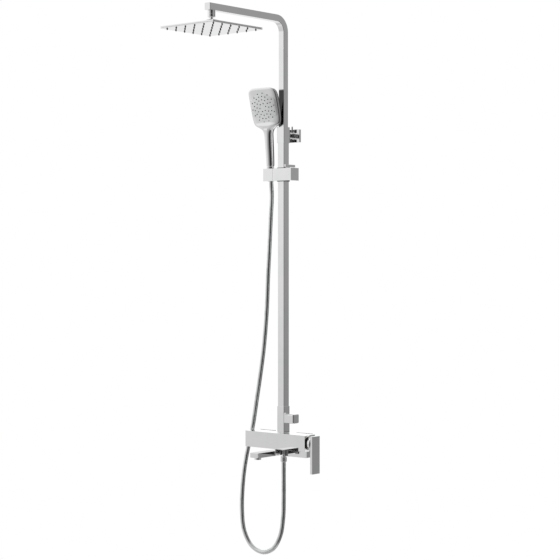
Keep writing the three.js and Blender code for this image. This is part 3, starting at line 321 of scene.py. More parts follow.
def ranged(tree, value, low, high):
    """0 at low, 1 at high and smooth between them."""
    node = tree.nodes.new("ShaderNodeMapRange")
    node.interpolation_type = "SMOOTHSTEP"
    set_inputs(node, From_Min=low, From_Max=high, To_Min=0.0, To_Max=1.0)
    tree.links.new(value, node.inputs["Value"])
    return node.outputs["Result"]


world = bpy.data.worlds.new("studio")
bpy.context.scene.world = world
world.use_nodes = True
studio = world.node_tree
nodes, links = studio.nodes, studio.links
nodes.clear()
direction = nodes.new("ShaderNodeTexCoord")
split = nodes.new("ShaderNodeSeparateXYZ")
links.new(direction.outputs["Generated"], split.inputs[0])
compass = math_step(studio, "ARCTAN2", split.outputs["X"], split.outputs["Y"])
turns = math_step(studio, "DIVIDE", compass, 2 * math.pi)
around = math_step(studio, "FRACT", math_step(studio, "ADD", turns, 1.0))
ramp = nodes.new("ShaderNodeValToRGB")
links.new(around, ramp.inputs["Fac"])
marks = ramp.color_ramp.elements
for index, (place, tone) in enumerate(ROOM_TONES):
    mark = marks[index] if index < 2 else marks.new(place)
    mark.position = place
    mark.color = grey(tone)
for mark, (place, tone) in zip(marks, ROOM_TONES):
    mark.position, mark.color = place, grey(tone)
height = split.outputs["Z"]
dusk = mixed_colour(studio, ranged(studio, height, 0.10, -0.16), ramp.outputs["Color"], grey(0.0))
lower_walls = mixed_colour(studio, 0.24, ramp.outputs["Color"], dusk)
walls = mixed_colour(studio, ranged(studio, height, 0.80, 0.97), lower_walls, grey(CEILING_TONE))
room = mixed_colour(studio, ranged(studio, height, -0.80, -0.97), walls, grey(FLOOR_TONE))
glow = nodes.new("ShaderNodeBackground")
links.new(room, glow.inputs["Color"])
paper = nodes.new("ShaderNodeBackground")
set_inputs(paper, Color=grey(1.0), Strength=1.0)
ray = nodes.new("ShaderNodeLightPath")
either = nodes.new("ShaderNodeMixShader")
links.new(ray.outputs["Is Camera Ray"], either.inputs["Fac"])
links.new(glow.outputs[0], either.inputs[1])
links.new(paper.outputs[0], either.inputs[2])
surface = nodes.new("ShaderNodeOutputWorld")
links.new(either.outputs[0], surface.inputs["Surface"])
bpy.context.scene.view_settings.view_transform = "Standard"
print("room tones", len(ROOM_TONES))

# %% [markdown]
# The floor is a plain pale round sheet a metre below the mixer, where a bathroom floor would be.
# It is small enough to stay out of the camera, which looks level over its edge, and the
# chrome doesn't mirror it, so the dark line in the hose runs right round its loop.

# %% Lay the floor
FLOOR_LEVEL = -1.05
FLOOR_RADIUS = 3.2

start_fresh()
bpy.ops.mesh.primitive_circle_add(vertices=128, radius=FLOOR_RADIUS, fill_type="NGON", location=(0, 0, FLOOR_LEVEL))
floor = bpy.context.object
floor.name = "studio_floor"
floor_finish = bpy.data.materials.new("pale_floor")
floor_finish.use_nodes = True
floor_shader = floor_finish.node_tree.nodes["Principled BSDF"]
set_inputs(floor_shader, Base_Color=grey(0.86), Roughness=0.9, Emission_Color=grey(1.0), Emission_Strength=0.15)
floor.data.materials.append(floor_finish)
floor.visible_glossy = False
print("floor at", FLOOR_LEVEL)

# %% [markdown]
# ## Finishes
#
# Small effects that several finishes share are made once, as node groups: a soft haze left
# by wiping, dried water spots, and the faint ripple that plating has over cast brass. Each
# finish then sets its own values. The patterns are read from Object coordinates, in
# metres, so a scale of 40 is a pattern about 25 mm across.

# %% Shared effects
def new_group(name, output, kind="NodeSocketFloat", **inputs):
    """An empty group with named number inputs, one output and its Object coordinates."""
    group = bpy.data.node_groups.new(name, "ShaderNodeTree")
    for label, value in inputs.items():
        socket = group.interface.new_socket(label, in_out="INPUT", socket_type="NodeSocketFloat")
        socket.default_value = value
    group.interface.new_socket(output, in_out="OUTPUT", socket_type=kind)
    entry, leave = group.nodes.new("NodeGroupInput"), group.nodes.new("NodeGroupOutput")
    place = group.nodes.new("ShaderNodeTexCoord")
    return group, entry, leave, place.outputs["Object"]


def make_haze_group():
    """Broad cloudy wiping marks, 0 to 1."""
    group, entry, leave, place = new_group("wiped_haze", "Haze", Scale=14.0, Amount=1.0)
    cloud = group.nodes.new("ShaderNodeTexNoise")
    set_inputs(cloud, Detail=5.0, Roughness=0.6, Distortion=0.8)
    group.links.new(place, cloud.inputs["Vector"])
    group.links.new(entry.outputs["Scale"], cloud.inputs["Scale"])
    soft = ranged(group, cloud.outputs["Fac"], 0.42, 0.72)
    amount = math_step(group, "MULTIPLY", soft, entry.outputs["Amount"])
    group.links.new(amount, leave.inputs["Haze"])
    return group


def make_spot_group():
    """Dried water spots: small pale rings here and there, 0 to 1."""
    group, entry, leave, place = new_group("water_spots", "Spots", Scale=110.0, Amount=1.0)
    cells = group.nodes.new("ShaderNodeTexVoronoi")
    group.links.new(place, cells.inputs["Vector"])
    group.links.new(entry.outputs["Scale"], cells.inputs["Scale"])
    inner = ranged(group, cells.outputs["Distance"], 0.08, 0.17)
    outer = ranged(group, cells.outputs["Distance"], 0.24, 0.18)
    ring = math_step(group, "MULTIPLY", inner, outer)
    tint = group.nodes.new("ShaderNodeSeparateColor")
    group.links.new(cells.outputs["Color"], tint.inputs[0])
    few = ranged(group, tint.outputs[0], 0.70, 0.86)
    chosen = math_step(group, "MULTIPLY", ring, few)
    amount = math_step(group, "MULTIPLY", chosen, entry.outputs["Amount"])
    group.links.new(amount, leave.inputs["Spots"])
    return group


def make_ripple_group():
    """A normal that wavers a little, from a fine or a broad noise."""
    group, entry, leave, place = new_group("surface_ripple", "Normal", "NodeSocketVector", Scale=30.0, Height=0.02)
    wave = group.nodes.new("ShaderNodeTexNoise")
    set_inputs(wave, Detail=3.0, Roughness=0.5)
    group.links.new(place, wave.inputs["Vector"])
    group.links.new(entry.outputs["Scale"], wave.inputs["Scale"])
    bump = group.nodes.new("ShaderNodeBump")
    set_inputs(bump, Distance=0.001)
    group.links.new(entry.outputs["Height"], bump.inputs["Strength"])
    group.links.new(wave.outputs["Fac"], bump.inputs["Height"])
    group.links.new(bump.outputs["Normal"], leave.inputs["Normal"])
    return group


HAZE, SPOTS, RIPPLE = make_haze_group(), make_spot_group(), make_ripple_group()
print("shared effects", [group.name for group in (HAZE, SPOTS, RIPPLE)])

# %% [markdown]
# A finish is one Principled shader. Its colour and its roughness are each mixed between
# two values by the haze and the spots, so no surface is one flat value, and its normal
# comes from the ripple. What makes chrome read as chrome is a high, almost even
# reflectance with a very low roughness, and these small breaks in it.

# %% Make the finishes
def place_group(material, group, **values):
    node = material.node_tree.nodes.new("ShaderNodeGroup")
    node.node_tree = group
    set_inputs(node, **values)
    return node


def make_finish(name, clean, marked, metallic, smooth, rough, haze_scale, spot_amount, ripple_scale, ripple_height):
    """clean and marked are colours; smooth and rough are the roughness without and with marks."""
    material = bpy.data.materials.new(name)
    material.use_nodes = True
    tree = material.node_tree
    shader = tree.nodes["Principled BSDF"]
    shader.inputs["Metallic"].default_value = metallic
    haze = place_group(material, HAZE, Scale=haze_scale, Amount=1.0)
    spots = place_group(material, SPOTS, Scale=110.0, Amount=spot_amount)
    either_mark = math_step(tree, "MAXIMUM", haze.outputs["Haze"], spots.outputs["Spots"])
    tree.links.new(mixed_colour(tree, haze.outputs["Haze"], (*clean, 1), (*marked, 1)),
                   shader.inputs["Base Color"])
    spread = tree.nodes.new("ShaderNodeMapRange")
    set_inputs(spread, To_Min=smooth, To_Max=rough)
    tree.links.new(either_mark, spread.inputs["Value"])
    tree.links.new(spread.outputs["Result"], shader.inputs["Roughness"])
    ripple = place_group(material, RIPPLE, Scale=ripple_scale, Height=ripple_height)
    tree.links.new(ripple.outputs["Normal"], shader.inputs["Normal"])
    return material


CHROME, WIPED_CHROME = (0.93, 0.93, 0.935), (0.89, 0.895, 0.90)
FINISH_VALUES = {
    # clean, marked, metallic, smooth, rough, haze scale, spot amount, ripple scale, ripple height
    "polished_chrome": (CHROME, WIPED_CHROME, 1.0, 0.025, 0.075, 14, 1.0, 22, 0.012),
    "hose_metal": ((0.86, 0.865, 0.87), (0.72, 0.725, 0.73), 1.0, 0.10, 0.22, 40, 0.4, 300, 0.05),
    "satin_spray_face": ((0.93, 0.935, 0.94), (0.88, 0.885, 0.89), 0.95, 0.22, 0.30, 24, 0.5, 900, 0.04),
    "grey_silicone": ((0.09, 0.092, 0.095), (0.14, 0.142, 0.145), 0.0, 0.48, 0.66, 90, 0.3, 700, 0.10),
    # painted shade: the brass is painted near black so the ring nut in the gap at the bar's end shows as shade
    "brass": ((0.20, 0.165, 0.11), (0.13, 0.11, 0.08), 1.0, 0.38, 0.55, 60, 0.2, 400, 0.08),
    "stainless_steel": ((0.62, 0.62, 0.62), (0.52, 0.52, 0.53), 1.0, 0.20, 0.34, 60, 0.3, 500, 0.06),
    "black_rubber": ((0.018, 0.018, 0.019), (0.035, 0.035, 0.036), 0.0, 0.62, 0.82, 80, 0.1, 800, 0.12),
    "white_plastic": ((0.78, 0.78, 0.77), (0.70, 0.70, 0.69), 0.0, 0.34, 0.48, 40, 0.2, 600, 0.05),
    "grey_plastic": ((0.085, 0.088, 0.092), (0.12, 0.123, 0.127), 0.0, 0.38, 0.55, 50, 0.2, 600, 0.07),
    # painted shade: this chrome's back is darkened further down, by the direction of its faces
    "painted_shade_back_chrome": (CHROME, WIPED_CHROME, 1.0, 0.05, 0.10, 14, 1.0, 22, 0.012),
    "shaded_chrome": (CHROME, WIPED_CHROME, 1.0, 0.03, 0.08, 14, 1.0, 22, 0.012),
}
FINISHES = {name: make_finish(name, *values) for name, values in FINISH_VALUES.items()}

# %% [markdown]
# Two of the chromes have painted shade in their colour. The hand shower is painted near
# black on the side that faces the column, so the column reflects it as a dark patch. The
# bracket and the wall plates are painted darker near the wall, as painted shade.

# %% Darken two finishes
# painted shade: the hand shower's back is painted near black, so its reflection in the column is dark
PAINTED_BACK_SHADE = (0.05, 0.05, 0.052)
# painted shade: the bracket and the wall plates are painted half as bright near the wall
PAINTED_WALL_SHADE = (0.46, 0.46, 0.465)


def darken_behind(name, dark, measure, low, high):
    """Paints shade into a finish: fades it to a dark tone as Y goes from low to high, of its Normal or Object place."""
    tree = FINISHES[name].node_tree
    shader = tree.nodes["Principled BSDF"]
    bright = shader.inputs["Base Color"].links[0].from_socket
    place = tree.nodes.new("ShaderNodeTexCoord")
    split = tree.nodes.new("ShaderNodeSeparateXYZ")
    tree.links.new(place.outputs[measure], split.inputs["Vector"])
    behind = ranged(tree, split.outputs["Y"], low, high)
    tree.links.new(mixed_colour(tree, behind, bright, (*dark, 1)), shader.inputs["Base Color"])


# painted shade on the back of the hand shower, by the direction of its faces
darken_behind("painted_shade_back_chrome", PAINTED_BACK_SHADE, "Normal", -0.12, 0.22)
# painted shade on the bracket's rod and the wall plates, near the wall
darken_behind("shaded_chrome", PAINTED_WALL_SHADE, "Object", -46 * MM, -38 * MM)
for piece in (hose_upper, hose_lower):
    piece.data.materials.append(FINISHES["hose_metal"])
print("finishes", sorted(FINISHES))

# %% [markdown]
# Every node of the working model takes its finish first. Many are hidden inside, such as
# the cartridge and the washers, and those keep their own shape and this finish. The
# pieces that show are then remade one by one.

# %% Finish every node
NODE_FINISH = {
    # the brass finish is painted shade, darker than brass
    "brass": ["wall_union_left", "wall_union_right", "cartridge_ring_nut", "lever_stem", "diverter_spindle"],
    "stainless_steel": ["lever_grub_screw", "wall_screw_1", "wall_screw_2", "bracket_set_screw", "holder_pivot_pin"],
    "black_rubber": ["inlet_washer_left", "inlet_washer_right", "hose_washer", "handset_washer"],
    "grey_silicone": ["rain_nozzle_mat"],
    "white_plastic": ["cartridge_housing", "check_valve", "diverter_cartridge", "ball_liner"],
    "grey_plastic": ["cartridge_carrier", "spout_washer", "aerator_insert", "slider_bush", "handset_spray_core"],
    "satin_spray_face": ["handset_spray_face"],
    "hose_metal": ["shower_hose"],
}
finish_of = {node: finish for finish, names in NODE_FINISH.items() for node in names}
for node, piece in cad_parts.items():
    piece.data.materials.clear()
    piece.data.materials.append(FINISHES[finish_of.get(node, "polished_chrome")])
print("finished", len(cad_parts), "nodes")

# %% [markdown]
# ## Tools for the pieces
#
# Sizes come from the frame: `span` gives a node's lowest and highest corner in metres, and
# a piece is built between them. Edges and faces are picked in code, by their place or
# their direction, as one would click them. A mirror finish shows every flaw, so each
# piece ends the same way: narrow rounded edges, then normals weighted towards the large
# faces, so that a flat face reflects as flat.

# %% Tools for modelling
def span(node):
    low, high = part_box(node)
    return Vector(low), Vector(high)


def pick(piece, kind, test):
    """Selects the verts, edges or faces of a piece that pass a test, and stays in edit mode."""
    bpy.context.view_layer.objects.active = piece
    bpy.ops.object.mode_set(mode="EDIT")
    bpy.ops.mesh.select_mode(type={"verts": "VERT", "edges": "EDGE", "faces": "FACE"}[kind])
    bpy.ops.mesh.select_all(action="DESELECT")
    shape = bmesh.from_edit_mesh(piece.data)
    for item in getattr(shape, kind):
        if test(item):
            item.select_set(True)
    shape.select_flush_mode()
    bmesh.update_edit_mesh(piece.data)


def pick_all(piece):
    bpy.context.view_layer.objects.active = piece
    bpy.ops.object.mode_set(mode="EDIT")
    bpy.ops.mesh.select_mode(type="VERT")
    bpy.ops.mesh.select_all(action="SELECT")


def leave():
    bpy.ops.object.mode_set(mode="OBJECT")


def runs_along(axis):
    """A test for edges that run along an axis, 0 to 2."""
    def test(edge):
        line = edge.verts[1].co - edge.verts[0].co
        return abs(line[axis]) > 0.999 * line.length
    return test


def add_box(name, low, high):
    """A cube stretched to fill the space from its lowest to its highest corner."""
    start_fresh()
    low, high = Vector(low), Vector(high)
    bpy.ops.mesh.primitive_cube_add(size=1, location=(low + high) / 2)
    piece = bpy.context.object
    piece.name = name
    piece.scale = high - low
    bpy.ops.object.transform_apply(location=True, rotation=True, scale=True)
    return piece


def round_edges(piece, test, radius, segments):
    """Rounds the chosen edges in edit mode."""
    pick(piece, "edges", test)
    bpy.ops.mesh.bevel(offset=radius, segments=segments, affect="EDGES")
    leave()


def apply_modifier(piece, kind, **settings):
    choose(piece)
    modifier = piece.modifiers.new(kind.lower(), kind)
    for setting, value in settings.items():
        setattr(modifier, setting, value)
    bpy.ops.object.modifier_apply(modifier=modifier.name)


def soften(piece, width=0.5 * MM, segments=3, sharp=50.0):
    """Narrow rounded edges and clean normals, for a hard shiny piece."""
    apply_modifier(piece, "BEVEL", width=width, segments=segments, limit_method="ANGLE",
                   angle_limit=math.radians(sharp), harden_normals=False)
    smooth(piece, sharp)
    apply_modifier(piece, "WEIGHTED_NORMAL", keep_sharp=True)


def copy_of(node, name):
    """The node's own shape as a new piece, its loose triangles merged into clean faces."""
    start_fresh()
    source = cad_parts[node]
    piece = bpy.data.objects.new(name, source.data.copy())
    bpy.context.scene.collection.objects.link(piece)
    piece.data.materials.clear()
    piece.data.transform(source.matrix_world)
    pick_all(piece)
    bpy.ops.mesh.remove_doubles(threshold=0.005 * MM)
    bpy.ops.mesh.dissolve_limited(angle_limit=math.radians(1.5))
    leave()
    return piece


def spun(name, outline, centre, axis="Z", steps=64):
    """An outline of (radius, height) in millimetres, drawn point by point and spun right round."""
    centre = Vector(centre)
    along = {"X": Vector((1, 0, 0)), "Y": Vector((0, 1, 0)), "Z": Vector((0, 0, 1))}[axis]
    outwards = Vector((0, 0, 1)) if axis == "X" else Vector((1, 0, 0))
    places = [centre + (outwards * radius + along * height) * MM for radius, height in outline]
    start_fresh()
    bpy.ops.mesh.primitive_plane_add(size=MM, location=places[0])
    piece = bpy.context.object
    piece.name = name
    bpy.ops.object.transform_apply(location=True, rotation=True, scale=True)
    pick_all(piece)
    bpy.ops.mesh.merge(type="CENTER")
    for here, there in zip(places, places[1:]):
        bpy.ops.mesh.extrude_vertices_move(TRANSFORM_OT_translate={"value": there - here})
    pick_all(piece)
    bpy.ops.mesh.spin(steps=steps, angle=2 * math.pi, center=centre, axis=along)
    pick_all(piece)
    bpy.ops.mesh.remove_doubles(threshold=0.002 * MM)
    bpy.ops.mesh.normals_make_consistent(inside=False)
    leave()
    return piece


def join_pieces(name, pieces):
    """Several pieces become one, keeping the first one's name."""
    start_fresh()
    for piece in pieces:
        piece.select_set(True)
    bpy.context.view_layer.objects.active = pieces[0]
    bpy.ops.object.join()
    pieces[0].name = name
    return pieces[0]


def carve(piece, cutter):
    """Cuts a shape out of a piece and removes the cutter."""
    apply_modifier(piece, "BOOLEAN", operation="DIFFERENCE", object=cutter, solver="EXACT")
    bpy.data.objects.remove(cutter)


def finish_piece(piece, body, finish, *nodes):
    """Rides on its body, takes its finish and stands for its nodes."""
    piece.data.materials.clear()
    piece.data.materials.append(FINISHES[finish])
    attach(piece, body)
    if nodes:
        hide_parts(*nodes)
    print(piece.name, len(piece.data.polygons), "faces")
    return piece


# %% [markdown]
# ## The riser
#
# The lower tube is a square brass section with small round corners. It is drawn as a box,
# its four upright edges are rounded, its ends are opened, and it is given its wall inwards,
# so the upper tube really slides inside it.

# %% The lower tube
TUBE_CORNER = 1.5 * MM
TUBE_WALL = 1.4 * MM

low, high = span("riser_lower_tube")
lower_tube = add_box("riser_lower", low, high)
round_edges(lower_tube, runs_along(2), TUBE_CORNER, 5)
pick(lower_tube, "faces", lambda face: abs(face.normal.z) > 0.9)
bpy.ops.mesh.delete(type="FACE")
leave()
apply_modifier(lower_tube, "SOLIDIFY", thickness=TUBE_WALL, offset=-1)
soften(lower_tube, width=0.3 * MM)
finish_piece(lower_tube, "column", "polished_chrome", "riser_lower_tube")

# %% [markdown]
# The upper tube is one square section drawn out as it is made in the workshop: straight
# up, round a quarter turn, and straight out over the bather. The ring of the section is
# extruded, spun about the bend's centre and extruded again.

# %% The upper tube and arm
BEND_RADIUS = 41 * MM  # to the middle of the tube
BEND_STEPS = 20

low, high = span("riser_upper_tube")
upper_side = high.x - low.x
column_x = (low.x + high.x) / 2
column_y = high.y - upper_side / 2
arm_axis = high.z - upper_side / 2
bend_foot = arm_axis - BEND_RADIUS
start_fresh()
bpy.ops.mesh.primitive_plane_add(size=upper_side, location=(column_x, column_y, low.z))
upper_tube = bpy.context.object
upper_tube.name = "riser_upper"
bpy.ops.object.transform_apply(location=True, rotation=True, scale=True)
pick_all(upper_tube)
bpy.ops.mesh.bevel(offset=TUBE_CORNER, segments=5, affect="VERTICES")
pick(upper_tube, "faces", lambda face: True)
bpy.ops.mesh.delete(type="ONLY_FACE")
pick_all(upper_tube)
bpy.ops.mesh.extrude_edges_move(TRANSFORM_OT_translate={"value": (0, 0, bend_foot - low.z)})
bpy.ops.mesh.spin(steps=BEND_STEPS, angle=-math.pi / 2, axis=(1, 0, 0),
                  center=(column_x, column_y - BEND_RADIUS, bend_foot))
bpy.ops.mesh.extrude_edges_move(TRANSFORM_OT_translate={"value": (0, low.y - (column_y - BEND_RADIUS), 0)})
pick_all(upper_tube)
bpy.ops.mesh.remove_doubles(threshold=0.005 * MM)
bpy.ops.mesh.normals_make_consistent(inside=False)
leave()
print("upper tube spans", [round(value, 4) for value in (*upper_tube.bound_box[0], *upper_tube.bound_box[6])])

# %% [markdown]
# The tube gets its wall, and a small square cap closes the end of the arm.

# %% Close the arm's end
ARM_WALL = 1.4 * MM

apply_modifier(upper_tube, "SOLIDIFY", thickness=ARM_WALL, offset=-1)
soften(upper_tube, width=0.3 * MM)
finish_piece(upper_tube, "upper_riser", "polished_chrome", "riser_upper_tube")

low, high = span("arm_end_cap")
cap = add_box("arm_cap", low, (high.x, low.y + 1.6 * MM, high.z))
round_edges(cap, runs_along(1), TUBE_CORNER, 5)
soften(cap, width=0.4 * MM)
finish_piece(cap, "upper_riser", "polished_chrome", "arm_end_cap")

# %% [markdown]
# ## The mixer
#
# The bar is one square casting with a lower step for the outlets. Its many bores are
# already right in the working model, so its shape is copied, its triangles are merged into
# clean faces, and only its edges are rounded. The same goes for the plates on the wall, the
# six-sided nuts, the diverter, the slider, its lock tab and the lever.

# %% Soften the cast pieces
CAST_PIECES = [
    # new name, node, body, edge radius in millimetres
    ("mixer_bar", "mixer_body", "column", 0.7),
    ("wall_plate_left", "rosette_left", "column", 0.8),
    ("wall_plate_right", "rosette_right", "column", 0.8),
    ("inlet_nut_left", "union_nut_left", "column", 0.9),
    ("inlet_nut_right", "union_nut_right", "column", 0.9),
    ("diverter_block", "diverter_body", "column", 0.5),
    ("slider_block", "slider_body", "slider", 0.6),
    ("slider_liner", "slider_bush", "slider", 0.3),
    ("lock_tab", "slider_lock_tab", "lock_tab", 0.6),
    ("lever_plate", "lever_handle", "lever", 0.5),
]
# the wall plates take the chrome with painted shade near the wall
NAMED_FINISH = {"slider_liner": "grey_plastic", "wall_plate_left": "shaded_chrome",
                "wall_plate_right": "shaded_chrome"}
for name, node, body, radius in CAST_PIECES:
    piece = copy_of(node, name)
    soften(piece, width=radius * MM, segments=3)
    finish_piece(piece, body, NAMED_FINISH.get(name, "polished_chrome"), node)

# %% [markdown]
# The spout is a flat bar whose hidden end is a half circle about its pivot. A box is drawn
# over its whole length and its two rear upright edges are rounded by half the width. A
# shallow round seat under its tip takes the aerator.

# %% The spout
low, high = span("spout_arm")
spout_side = high.x - low.x
spout = add_box("spout_bar", low, high)
rear = high.y
round_edges(spout, lambda edge: runs_along(2)(edge) and edge.verts[0].co.y > rear - MM,
            spout_side / 2 - 0.02 * MM, 16)
aerator_low, aerator_high = span("aerator_housing")
aerator_axis = (aerator_low + aerator_high) / 2
seat = spun("seat", [(0, -1), (9.6, -1), (9.6, 6.5), (0, 6.5)], (aerator_axis.x, aerator_axis.y, low.z))
carve(spout, seat)
soften(spout, width=0.6 * MM, sharp=35)
finish_piece(spout, "spout", "polished_chrome", "spout_arm")

# %% [markdown]
# ## Turned pieces
#
# Everything round on the column came off a lathe: the nuts, the aerator, the ball joint,
# the hub of the lever. Each is drawn as half of its outline, point by point, and spun.
# Small steps and chamfers in the outline are what make such a piece look machined.

# %% Nuts, aerator and pivot
RIM = 0.5  # chamfer on a turned edge, millimetres


def turned_piece(name, node, body, outline, axis="Z", finish="polished_chrome", steps=64, edge=0.15, segments=2):
    """Spins an outline whose heights start at the node's lowest face along the axis."""
    low, high = span(node)
    centre = (low + high) / 2
    index = "XYZ".index(axis)
    centre[index] = low[index]
    piece = spun(name, outline, centre, axis, steps)
    soften(piece, width=edge * MM, segments=segments, sharp=30)
    return finish_piece(piece, body, finish, node)


turned_piece("aerator_ring", "aerator_housing", "spout", [
    (8.1, 0.3), (8.6, 0), (10.3, 0), (10.8, RIM), (10.8, 2.0), (10.5, 2.2), (10.5, 2.8), (10.8, 3.0),
    (10.8, 6.2), (9.3, 6.2), (9.3, 12), (8.1, 12), (8.1, 0.3)])
turned_piece("spout_bolt", "spout_pivot_bolt", "spout", [
    (0, 0.6), (3, 0.6), (3.4, 0), (10.4, 0), (11, RIM), (11, 1.6), (7, 1.6), (7, 34), (0, 34)])
turned_piece("outlet_neck", "hose_outlet_spigot", "column", [
    (2.6, 40), (2.6, 10), (5.9, 10), (5.9, 0), (7.4, 0), (8, 0.6), (8, 10.6), (7.6, 11), (5.5, 11.4),
    (5.5, 17), (5.9, 17.4), (5.9, 18.4), (5.5, 18.8), (5.5, 31.7), (4.5, 31.7), (4.5, 40), (2.6, 40)])
turned_piece("hub_disc", "lever_hub", "lever", [
    (0, 0), (21, 0), (22, 0.8), (22, 8.4), (21.4, 9), (0, 9)], axis="X", steps=96)
turned_piece("ball_nut_body", "ball_nut", "upper_riser", [
    (7.3, 20), (7.3, 4), (8.5, 0.2), (9, 0), (11, 0), (12, 1.2), (12, 9), (11.6, 9.4), (11.6, 10.2), (12, 10.6),
    (12, 19.4), (11.4, 20), (7.3, 20)])


# %% The ball joint
def ball_arc(radius, low_angle, high_angle, steps, middle):
    """Points on a sphere, from one latitude in degrees to another, about a height."""
    points = []
    for step in range(steps + 1):
        angle = math.radians(low_angle + (high_angle - low_angle) * step / steps)
        points.append((radius * math.cos(angle), middle + radius * math.sin(angle)))
    return points


BALL_HEIGHT = 9.7  # the ball's middle above the foot of the stud
turned_piece("ball_and_neck", "ball_stud", "upper_riser", [
    (2.5, BALL_HEIGHT - 9.68), *ball_arc(10, -75, 63, 20, BALL_HEIGHT), (4.5, 27), (7, 29), (7, 50.5), (2.5, 50.5),
    (2.5, BALL_HEIGHT - 9.68)])
turned_piece("ball_shell", "ball_cup", "rain_head", [
    (9.2, 0), (18, 0), (18.5, RIM), (18.5, 3.2), (18.1, 3.5), (18.1, 4.2), (18.5, 4.5), (18.5, 13.6), (16.2, 16),
    (12.3, 16), *ball_arc(12.3, 30, -38, 12, 8.3), (9.2, 0)])

# %% [markdown]
# The nuts at the two ends of the hose are turned too. The one at the outlet is then
# knurled for grip: between two heights, its round wall is pressed in by shallow flutes.

# %% The hose nuts
FLUTE_DEPTH = 0.35


def fluted(piece, centre, low_height, high_height, flutes):
    """Presses shallow flutes into the round wall of an upright turned piece, between two heights."""
    for vert in piece.data.vertices:
        offset = vert.co - centre
        height = offset.z / MM
        outward = Vector((offset.x, offset.y, 0))
        if low_height < height < high_height and outward.length > 8.5 * MM:
            turn = math.atan2(outward.y, outward.x)
            vert.co -= outward.normalized() * FLUTE_DEPTH * MM * (0.5 + 0.5 * math.cos(flutes * turn))


def lean(piece, about):
    """Tips a piece by the lean of the hand shower's socket, about a point."""
    start_fresh()
    pick_all(piece)
    bpy.ops.transform.rotate(value=-SOCKET_LEAN, orient_axis="X", center_override=about)
    leave()


low, high = span("hose_nut_lower")
nut_foot = Vector(((low.x + high.x) / 2, (low.y + high.y) / 2, low.z))
hose_nut = spun("outlet_hose_nut", [
    (4.5, 0), (8.6, 0), (9.6, 0.8), (10, 1.6), (10, 2.6), (9.7, 2.9), (9.7, 3.4), (10, 3.7), (10, 6), (10, 8.5),
    (10, 11), (10, 13), (9.7, 13.3), (9.7, 13.8), (10, 14.1), (10, 15.4), (9.4, 16), (8.3, 16), (8.3, 1.6),
    (4.5, 1.6), (4.5, 0)], nut_foot, "Z", 120)
fluted(hose_nut, nut_foot, 3.6, 13.2, 20)
soften(hose_nut, width=0.1 * MM, segments=2, sharp=30)
finish_piece(hose_nut, "column", "polished_chrome", "hose_nut_lower")

cone_foot = below_socket(CONE_BELOW)
cone = spun("hose_cone", [
    (4, 0), (10.1, 0), (10.6, 0.5), (12.16, 45), (12.2, 45.4), (11.8, 46), (9, 46), (9, 36), (7.4, 36),
    (7.4, 1), (4, 0)], cone_foot, "Z", 96)
lean(cone, cone_foot)
soften(cone, width=0.15 * MM, segments=2, sharp=30)
finish_piece(cone, "handset", "polished_chrome", "hose_cone_nut")

# %% [markdown]
# The holder is a block with a tapered socket that stands at the same lean as the cone, and
# a slot in its side that lets the hose in. Both are cut from a box with round cutters, so
# the socket is properly round.

# %% The holder
SOCKET_PLAY = 0.45
SLOT_HALF_WIDTH = 8 * MM
SLOT_PAST_ENDS = 5 * MM

low, high = span("handset_holder")
holder = add_box("holder_block", low, (span("slider_body")[0].x - 0.3 * MM, high.y, high.z))
socket_foot = below_socket(CONE_BELOW + 10)
taper = (12.2 - 10.6) / 46
socket = spun("socket", [(0, 0), (10.6 + SOCKET_PLAY - 10 * taper, 0), (12.2 + SOCKET_PLAY + 8 * taper, 64),
                         (0, 64)], socket_foot, "Z", 96)
lean(socket, socket_foot)
carve(holder, socket)
hose_slot = add_box("slot", (low.x - MM, HANDSET_AXIS.y - SLOT_HALF_WIDTH, low.z - SLOT_PAST_ENDS),
                    (HANDSET_AXIS.x, HANDSET_AXIS.y + SLOT_HALF_WIDTH, high.z + SLOT_PAST_ENDS))
lean(hose_slot, HANDSET_AXIS)
carve(holder, hose_slot)
soften(holder, width=0.6 * MM, sharp=35)
finish_piece(holder, "holder", "polished_chrome", "handset_holder")

# %% [markdown]
# ## The rain head
#
# The head is a thin square tray of chrome over a mirror face plate. Its edge is only a few
# millimetres thick with a soft upper lip, so the tray is a box whose top edges are rounded
# much more than its bottom ones. A turned boss carries the ball joint.

# %% The tray and its boss
low, high = span("rain_head_shell")
BOSS_HEIGHT = 5 * MM
tray_top = high.z - BOSS_HEIGHT
tray = add_box("rain_tray", low, (high.x, high.y, tray_top))
round_edges(tray, runs_along(2), 3 * MM, 6)
round_edges(tray, lambda edge: min(vert.co.z for vert in edge.verts) > tray_top - 0.01 * MM, 1.6 * MM, 5)
soften(tray, width=0.2 * MM, sharp=35)
rain_middle = (low + high) / 2
boss = spun("boss", [(0, -0.3), (27.5, -0.3), (26, 0.4), (25.2, 1.4), (25, 2.2), (25, 4.3), (24.3, 5), (0, 5)],
            (rain_middle.x, rain_middle.y, tray_top), "Z", 96)
soften(boss, width=0.15 * MM, segments=2, sharp=30)
tray = join_pieces("rain_tray", [tray, boss])
finish_piece(tray, "rain_head", "polished_chrome", "rain_head_shell")

low, high = span("rain_head_face")
face_plate = add_box("rain_face", low, high)
round_edges(face_plate, runs_along(2), 3 * MM, 6)
soften(face_plate, width=0.5 * MM, sharp=35)
finish_piece(face_plate, "rain_head", "polished_chrome", "rain_head_face")

# %% [markdown]
# The nozzles are small grey silicone cones that stick out of the face in straight rows, so
# lime can be rubbed off them. One is spun, with a little collar and a hollow tip, and the
# rest are copies of it, each with its own mesh, joined into one piece.

